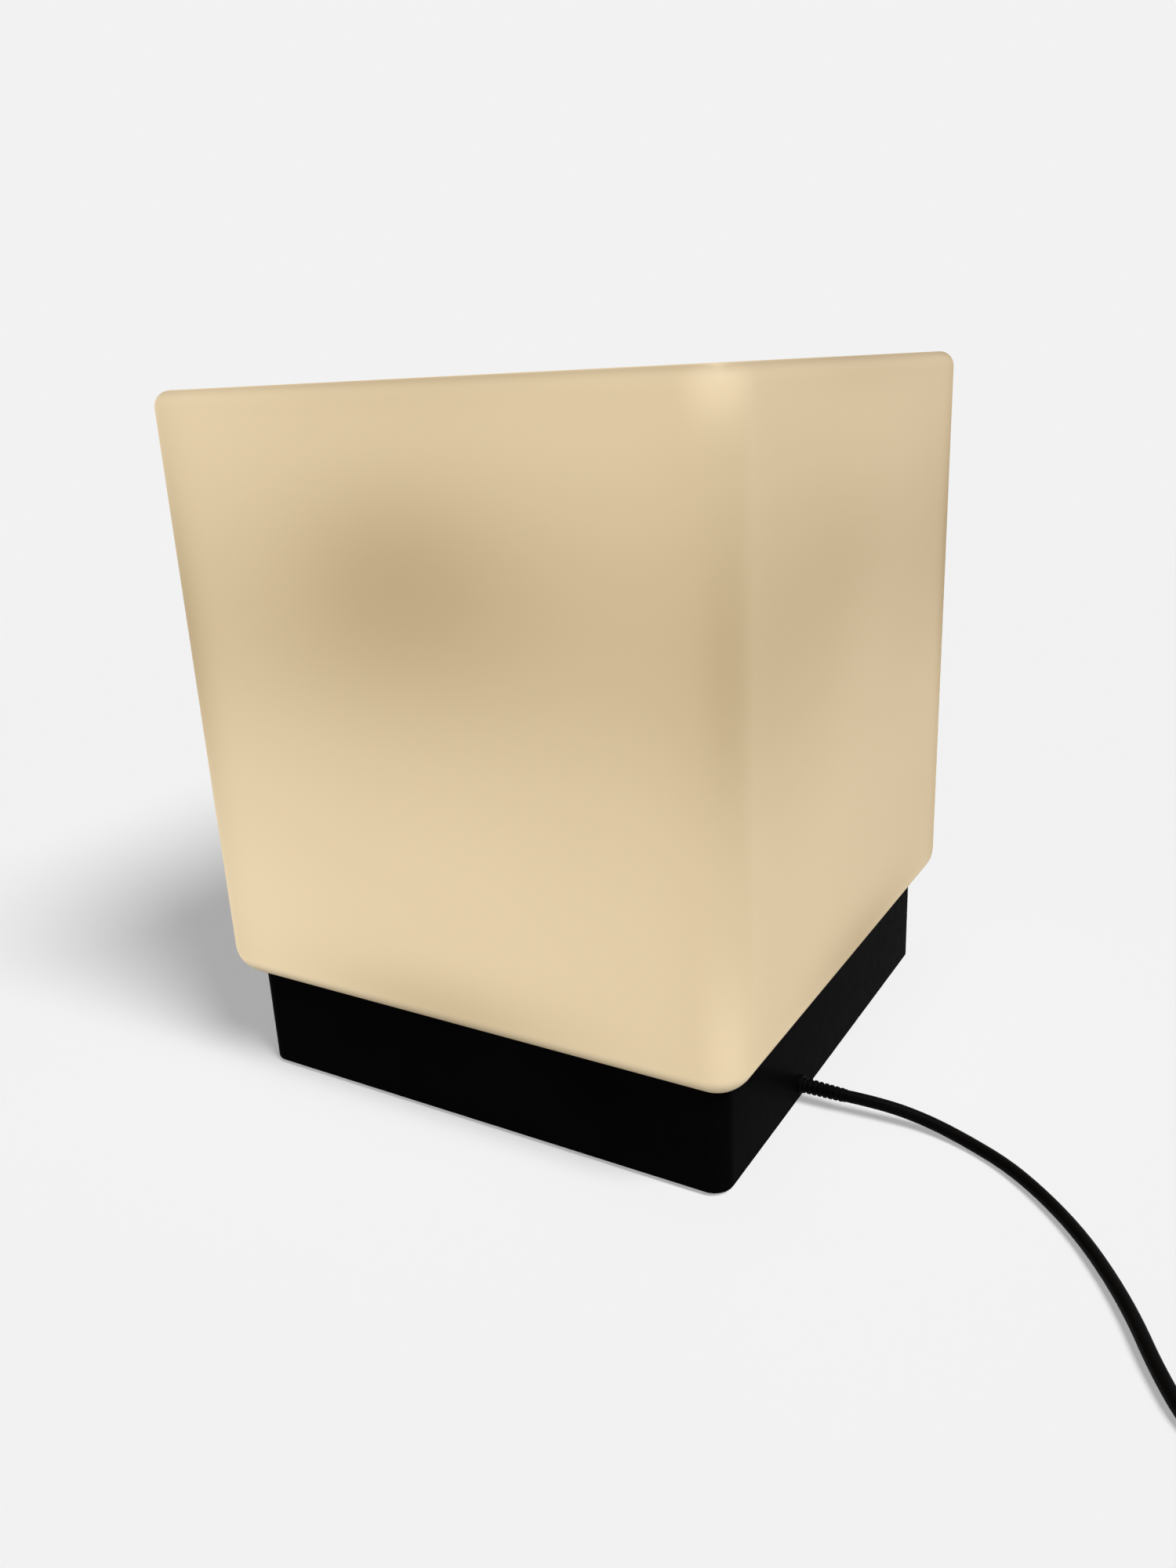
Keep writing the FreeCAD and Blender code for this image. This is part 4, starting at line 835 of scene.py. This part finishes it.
def make_tie(material):
    """A strap round the turns, drawn through a square head, with its cut end standing past it."""
    left, right, low, high, corner = 278.55, 290.45, 0.3, 23.2, 2.2
    half_wide, half_thick, edge = 2.5, 0.28, 0.3
    section = [(-half_wide + edge, half_thick), (half_wide - edge, half_thick), (half_wide, 0.1),
               (half_wide, -0.1), (half_wide - edge, -half_thick), (-half_wide + edge, -half_thick),
               (-half_wide, -0.1), (-half_wide, 0.1)]
    path = []
    for cx, cz, start in ((right, high, 0), (left, high, 90), (left, low, 180), (right, low, 270)):
        sx, sz = (1 if cx == right else -1), (1 if cz == high else -1)
        for i in range(5):
            x, z = polar(corner, start + 22.5 * i)
            path.append((cx - sx * corner + x, cz - sz * corner + z))
    rings = []
    for i, (x, z) in enumerate(path):
        before, after = Vector(path[i - 1]), Vector(path[(i + 1) % len(path)])
        out = Vector(((after - before).y, -(after - before).x)).normalized()
        rings.append([Vector((x + out.x * t, y, z + out.y * t)) for y, t in section])
    head = soft_block(4.2, 7.0, 6.0, (right + 1.55, 0, 9.0), 0.8)
    bar = soft_block(1.2, 4.8, 0.9, (right + 1.95, 0, 14.9), 0.35)
    tail = soft_block(0.62, 4.6, 9.0, (right + 0.35, 0, 14.0), 0.25)
    strap = solid("coil_strap", *joined([hoop(rings), head, bar, tail]), material)
    return place(strap, "tie_plastic", "coil_tie")


def make_plug_details(rib_material, sleeve_material):
    """Grip ribs on the flanks and the pins' insulating sleeves."""
    flank, first_rib, rib_pitch, half_pins = 17.25, 107.5, 3.2, 9.3
    ribs = []
    for side in (-1, 1):
        for i in range(5):
            at = (PLUG_X + side * flank, first_rib + rib_pitch * i, 2.35)
            ribs.append(soft_block(1.5, 1.5, 9.0, at, 0.6))
    grip = solid("plug_grip_ribs", *joined(ribs), rib_material)
    place(grip, "plug_plastic")
    sleeves = [turned([(1.9, 125.6), (2.04, 125.8), (2.04, 135.7), (1.95, 136.0)],
                      (PLUG_X + side * half_pins, 0, PLUG_Z), "y", 28) for side in (-1, 1)]
    sleeved = solid("pin_sleeves", *joined(sleeves), sleeve_material)
    place(sleeved, "plug_plastic")
    return grip, sleeved


SWITCH_X, SWITCH_Y, AXLE_Z, ROCKER_TILT = 338.0, -84.0, 13.0, -8.0
ROCKER_EDGE, ROCKER_DIP, ROCKER_HALF = 5.5, 4.2, 8  # its top falls from each end to its middle


def make_rocker_marks(material):
    """The bar and the ring that every mains rocker carries, raised on its two ends."""
    from_axle, level = 5.0, 4.98
    slope = math.atan2(ROCKER_EDGE - ROCKER_DIP, ROCKER_HALF)
    bar = soft_block(0.7, 3.2, 0.22, (0, 0, 0), 0.1, 2)
    ring = ring_mark([(1.1, 0), (1.15, 0.2), (1.7, 0.2), (1.75, 0)])
    marks = []
    for side, (points, faces) in ((-1, bar), (1, ring)):
        lean = Euler((side * slope, 0, 0)).to_matrix()
        marks.append(([lean @ p + Vector((0, side * from_axle, level)) for p in points], faces))
    points, faces = joined(marks)
    tilt = Euler((math.radians(ROCKER_TILT), 0, 0)).to_matrix()
    points = [tilt @ p + Vector((SWITCH_X, SWITCH_Y, AXLE_Z)) for p in points]
    made = solid("rocker_marks", points, faces, material)
    return place(made, "rocker_plastic", body="rocker")


def ring_mark(profile, steps=28):
    """A low ring from its cross-section."""
    return hoop([[Vector((*polar(r, 360 * i / steps), z)) for i in range(steps)] for r, z in profile])


# ---- inside the base
LEADS_HOLE = (-32.397, -38.610)
DRIVER_MIDDLE = (12.603, -39.0)
CHIP_RINGS = ((16, 29.0), (8, 14.0))
BOARD_TOP = 48.6
WIRE_RADIUS = 0.95


def make_chips(body_material, glow_material):
    """Each package is a white cup with a dot of phosphor in it."""
    tree = ring_tree()
    cup = solid("chip_cup", *soft_block(2.8, 3.5, 0.72, (0, 0, 0), 0.25, 2), body_material)
    dot = solid("chip_dot", *turned([(1.15, 0.5), (1.15, 0.74), (0.9, 0.8)], (0, 0, 0), steps=16),
                glow_material)
    for kind, prototype, material, slot in (("cups", cup, body_material, "connector_plastic"),
                                            ("dots", dot, glow_material, "chip_yellow")):
        for count, radius in CHIP_RINGS:
            chips = grown(f"chip_{kind}_{count}", [(0, 0, 0)], tree, {
                "Package": prototype, "Count": count, "Radius": radius * MM, "Level": BOARD_TOP * MM,
                "Finish": material,
            })
            place(chips, slot, "led_chips")
        bpy.data.objects.remove(prototype)


def make_screws(material):
    """Every screw, by node: where it stands, how long it is, and which way it is driven."""
    tree = screws_tree()
    ear = 24.5
    rows = [
        ("ring_screws", [(*polar(77, a), 47.5) for a in (45, 135, 225, 315)], 9.5, pan_screw),
        ("led_cover_screws", [(*polar(63, a), 48.5) for a in (90, 210, 330)], 10.5, pan_screw),
        ("board_screws", [(*polar(50.6, a), BOARD_TOP) for a in (30, 150, 270)], 3.0, pan_screw),
        ("bottom_screws", [(a * 102, b * 102, 1.5) for a in (-1, 1) for b in (-1, 1)], 9.5, sunk_screw),
        ("driver_screws", [(DRIVER_MIDDLE[0], LEAD_Y + k * ear, 6.5) for k in (-1, 1)], 3.9, pan_screw),
        ("clamp_screws", [(102, LEAD_Y + k * 9, 12) for k in (-1, 1)], 8.0, pan_screw),
        ("switch_screws", [(SWITCH_X, SWITCH_Y + k * 22, 0) for k in (-1, 1)], 13.6, sunk_screw),
    ]
    made = {}
    for seed, (node, places, length, kind) in enumerate(rows, 3):
        prototype = kind(length, material)
        screws = grown(node + "_crosshead", places, tree,
                       {"Screw": prototype, "Seed": seed, "Finish": material})
        bpy.data.objects.remove(prototype)
        made[node] = place(screws, "zinc_screw", node)
    return made


def wire(name, points, material, slot, node):
    """A core or lead held at both ends, as a mesh."""
    line = curve_line(name + "_line", points, WIRE_RADIUS)
    mesh = as_mesh(line, name)
    bpy.data.objects.remove(line)
    mesh.materials.clear()
    mesh.materials.append(material)
    smooth(mesh, 50)
    place(show(name, mesh), slot, node)


def make_wires(finishes):
    """The mains cores to the driver, the two leads from it up to the board, and the jacket's end."""
    jacket_end, terminal_right, terminal_left = 96.0, 73.603, 57.603
    driver_right, driver_left = 45.603, -20.397
    driver_level, plug_level = 15, 50.7
    for name, side, slot in (("live_core", -1, "brown_core"), ("neutral_core", 1, "blue_core")):
        near, far = LEAD_Y + side * 1.2, LEAD_Y + side * 4
        third = (jacket_end - terminal_right) / 3
        wire(f"{name}_insulation", [
            (jacket_end - 0.2, near, LEAD_Z), (jacket_end - third, near, LEAD_Z),
            (terminal_right + third, far, LEAD_Z), (terminal_right + 0.05, far, LEAD_Z),
        ], finishes[slot], slot, name)
        wire(f"{name}_onward", [
            (terminal_left - 0.05, far, LEAD_Z), (terminal_left - 4, far, LEAD_Z + 0.1),
            (driver_right + 4, far, LEAD_Z - 0.1), (driver_right + 0.05, far, LEAD_Z),
        ], finishes[slot], slot, name)
    hole_x, hole_y = LEADS_HOLE
    for name, side, slot in (("led_lead_red", -1, "red_lead"), ("led_lead_black", 1, "black_lead")):
        y = hole_y + side * 2
        wire(f"{name}_insulation", [
            (driver_left - 0.05, y, driver_level), (hole_x + 3, y, driver_level),
            (hole_x, y, driver_level + 3), (hole_x, y, 34), (hole_x, y, plug_level - 3),
            (hole_x + 3, y, plug_level), (hole_x + 6.45, y, plug_level),
        ], finishes[slot], slot, name)
    jacket = [(1.5, jacket_end), (2.35, jacket_end), (2.5, jacket_end + 0.3), (2.5, 109.9), (2.0, 110.0)]
    sleeve = solid("inner_jacket_end", *turned(jacket, (0, LEAD_Y, LEAD_Z), "x"), finishes["cord_sheath"])
    place(sleeve, "cord_sheath", "inner_jacket")


def make_driver_parts(finishes):
    """Small parts round the transformer: film capacitors and resistors."""
    x, y = DRIVER_MIDDLE
    low, axle = 10.4, 1.3
    boxes = [soft_block(7.5, 4.5, 8.5, (x - 18, y + 11, low), 0.7),
             soft_block(7.5, 4.0, 7.0, (x - 5, y + 13, low), 0.7),
             soft_block(5.0, 9.0, 5.0, (x + 24, y + 11.5, low), 0.7)]
    film = solid("driver_film_capacitors", *joined(boxes), finishes["terminal_plastic"])
    place(film, "terminal_plastic")
    half = [(1.05, 1.4), (1.25, 2.0), (1.15, 2.6), (0.3, 2.9), (0.3, 4.2)]
    body = [(radius, -far) for radius, far in reversed(half)] + half
    bodies = [turned(body, (x + aside, y + along, low + axle), "x", 14)
              for aside, along in ((-18, 3), (-18, -1), (-18, -5), (4, -13), (12, -13))]
    resistors = solid("driver_resistors", *joined(bodies), finishes["circuit_tan"])
    place(resistors, "terminal_plastic")


# ---- floor and light
def seen_apart(tree, light, background):
    """A background for the camera and for clear and glossy surfaces, and a light for all the rest."""
    path = add(tree, "ShaderNodeLightPath").outputs
    seen = calc(tree, "MAXIMUM", path["Is Camera Ray"], path["Is Glossy Ray"])
    seen = calc(tree, "MAXIMUM", seen, path["Is Transmission Ray"])
    return add(tree, "ShaderNodeMixShader", {0: seen, 1: light, 2: background})


PAPER = "#F2F2F2"
PAPER_RINGS = (12, 900, 2400, 9000)  # radii of its edge loops, mm
GLOW_START, GLOW_FULL = 0.9, 2.2  # where the paper starts to glow and where it does nothing else, m
SKY_LEVEL, LAMP_LEVEL, FILL_LEVEL = 0.03, 0.54, 0.425  # what each adds to white paper; about 1 in all


def set_light():
    """A faint sky, a soft lamp that casts the shadow, and a fill straight from above that casts none."""
    world = bpy.data.worlds.new("studio")
    tree = blank_tree(world)
    sky = add(tree, "ShaderNodeBackground", {"Color": (1, 1, 1, 1), "Strength": SKY_LEVEL})
    paper = add(tree, "ShaderNodeBackground", {"Color": linear(PAPER), "Strength": 1.0})
    add(tree, "ShaderNodeOutputWorld", {"Surface": seen_apart(tree, sky, paper)})
    bpy.context.scene.world = world
    add_lamp("soft_lamp", LAMP_LEVEL, softness=24, azimuth=-16, height=50)
    add_lamp("fill_lamp", FILL_LEVEL, softness=3, azimuth=0, height=90).use_shadow = False


def add_lamp(name, level, softness, azimuth, height):
    """A far lamp that adds a level to white paper. Its width, azimuth and height are in degrees."""
    lamp = bpy.data.lights.new(name, "SUN")
    lamp.energy = level * math.pi / math.sin(math.radians(height))
    lamp.angle = math.radians(softness)
    away = Vector((*polar(math.cos(math.radians(height)), azimuth), math.sin(math.radians(height))))
    show(name, lamp).rotation_euler = away.to_track_quat("Z", "Y").to_euler()
    return lamp


def make_floor():
    """A round sheet of paper under everything, which far out glows as bright as the background."""
    material = bpy.data.materials.new("pale paper")
    tree = blank_tree(material)
    where = add(tree, "ShaderNodeTexCoord").outputs["Object"]
    far = calc_vector(tree, "LENGTH", where).outputs["Value"]
    fade = ramp(tree, far, GLOW_START, GLOW_FULL, 0.0, 1.0)
    near = add(tree, "ShaderNodeBsdfDiffuse", {"Color": linear(PAPER)})
    glow = add(tree, "ShaderNodeEmission", {"Color": linear(PAPER), "Strength": 1.0})
    mixed = add(tree, "ShaderNodeMixShader", {0: fade, 1: near, 2: glow})
    add(tree, "ShaderNodeOutputMaterial", {"Surface": mixed})
    steps = 64
    rings = [[Vector((*polar(radius, 360 * i / steps), 0)) for i in range(steps)] for radius in PAPER_RINGS]
    points, faces = loft(rings, closed_ends=(True, False))
    floor = solid("floor", points, [face[::-1] for face in faces], material, turn_out=False)
    return floor


def keep_glow_off(floor, shade):
    """The glass lights the light's own pieces but leaves the paper its neutral colour."""
    left_out = bpy.data.collections.new("not lit by the glass")
    left_out.objects.link(floor)
    left_out.collection_objects[0].light_linking.link_state = "EXCLUDE"
    shade.light_linking.receiver_collection = left_out


# ---- the whole light
def make_finishes():
    """Every finish by the name of its slot, and two for pieces of the scene alone."""
    return {
        "opal_glass": satin_opal_glass(),
        "black_housing": gloss_black_moulding(),
        "black_moulding": moulded("grained black ABS", ("#0D0D0D", "#121212"), 0.45, 0.02, 0.48, 0.15),
        "seat_rubber": silicone_rubber(),
        "foot_rubber": foot_rubber(),
        "ring_plastic": moulded("white moulded PBT", ("#E4E2DB", "#EAE8E2"), 0.6, 0.015, 0.45),
        "clear_lid": clear_polycarbonate(),
        "heat_aluminium": rolled_aluminium(),
        "board_white": white_solder_mask(),
        "chip_yellow": phosphor(),
        "connector_plastic": moulded("white nylon", ("#EDEBE2", "#E3E0D4"), 0.8, 0.01, 0.38),
        "zinc_screw": zinc_plate(),
        "driver_plastic": moulded("white moulded ABS", ("#E2E1DC", "#DAD9D3"), 0.5, 0.02, 0.5),
        "circuit_board": green_solder_mask(),
        "ferrite": ferrite_and_tape(),
        "capacitor_sleeve": shrunk_sleeve(),
        "terminal_plastic": moulded("cream polyamide", ("#DEDBCB", "#E6E3D6"), 0.6, 0.015, 0.42),
        "brass": plain_brass(),
        "cord_sheath": pvc_sheath(),
        "brown_core": insulation("brown insulation", ("#5A3018", "#66391F")),
        "blue_core": insulation("blue insulation", ("#2A66B0", "#3271BC")),
        "red_lead": insulation("red insulation", ("#B51F1F", "#C12A26")),
        "black_lead": insulation("black insulation", ("#141414", "#1C1C1C")),
        "switch_plastic": moulded("grained black polyamide", ("#0D0D0D", "#121212"), 0.4, 0.03, 0.5, 0.15),
        "rocker_plastic": moulded("gloss black polyamide", ("#0A0A0A", "#0E0E0E"), 2.5, 0.008, 0.22, 0.25),
        "tie_plastic": moulded("black nylon strap", ("#0E0E0E", "#141414"), 0.6, 0.02, 0.45, 0.18),
        "plug_plastic": moulded("grained black PVC", ("#0D0D0D", "#131313"), 0.5, 0.03, 0.5, 0.15),
        "plug_nickel": nickel_plate(),
        "circuit_tan": moulded("tan lacquer", ("#C2A878", "#B59A68"), 1.0, 0.01, 0.35),
        "mark_white": moulded("white pad print", ("#DCDCDA", "#E4E4E2"), 0.8, 0.005, 0.45),
    }


def make_light():
    """Every piece of the light. The glass is handed on, as it lights the others alone."""
    finishes = make_finishes()
    strain_relief = make_strain_relief(finishes["cord_sheath"])
    plug_relief = make_plug_relief(finishes["cord_sheath"])
    tie = make_tie(finishes["tie_plastic"])
    grip, sleeves = make_plug_details(finishes["plug_plastic"], finishes["black_moulding"])
    marks = make_rocker_marks(finishes["mark_white"])
    screws = make_screws(finishes["zinc_screw"])
    fittings = [strain_relief, plug_relief, tie, grip, sleeves, marks, screws["switch_screws"]]
    fittings += [NODES[node] for node in (
        "switch_base", "switch_cover", "switch_rocker", "switch_contacts", "plug_body", "plug_pins")]
    make_cord(finishes["cord_sheath"])
    shade = make_shade(finishes["opal_glass"])
    make_chips(finishes["connector_plastic"], finishes["chip_yellow"])
    make_wires(finishes)
    make_driver_parts(finishes)
    for row in frame["record"]["subparts"]:
        dress(row["node"], finishes[row["material_slot"]])
    return shade


keep_glow_off(shade=make_light(), floor=make_floor())
set_light()
bpy.context.scene.view_settings.view_transform = "Standard"
for leftover in list(bpy.data.meshes):
    if not leftover.users:
        bpy.data.meshes.remove(leftover)
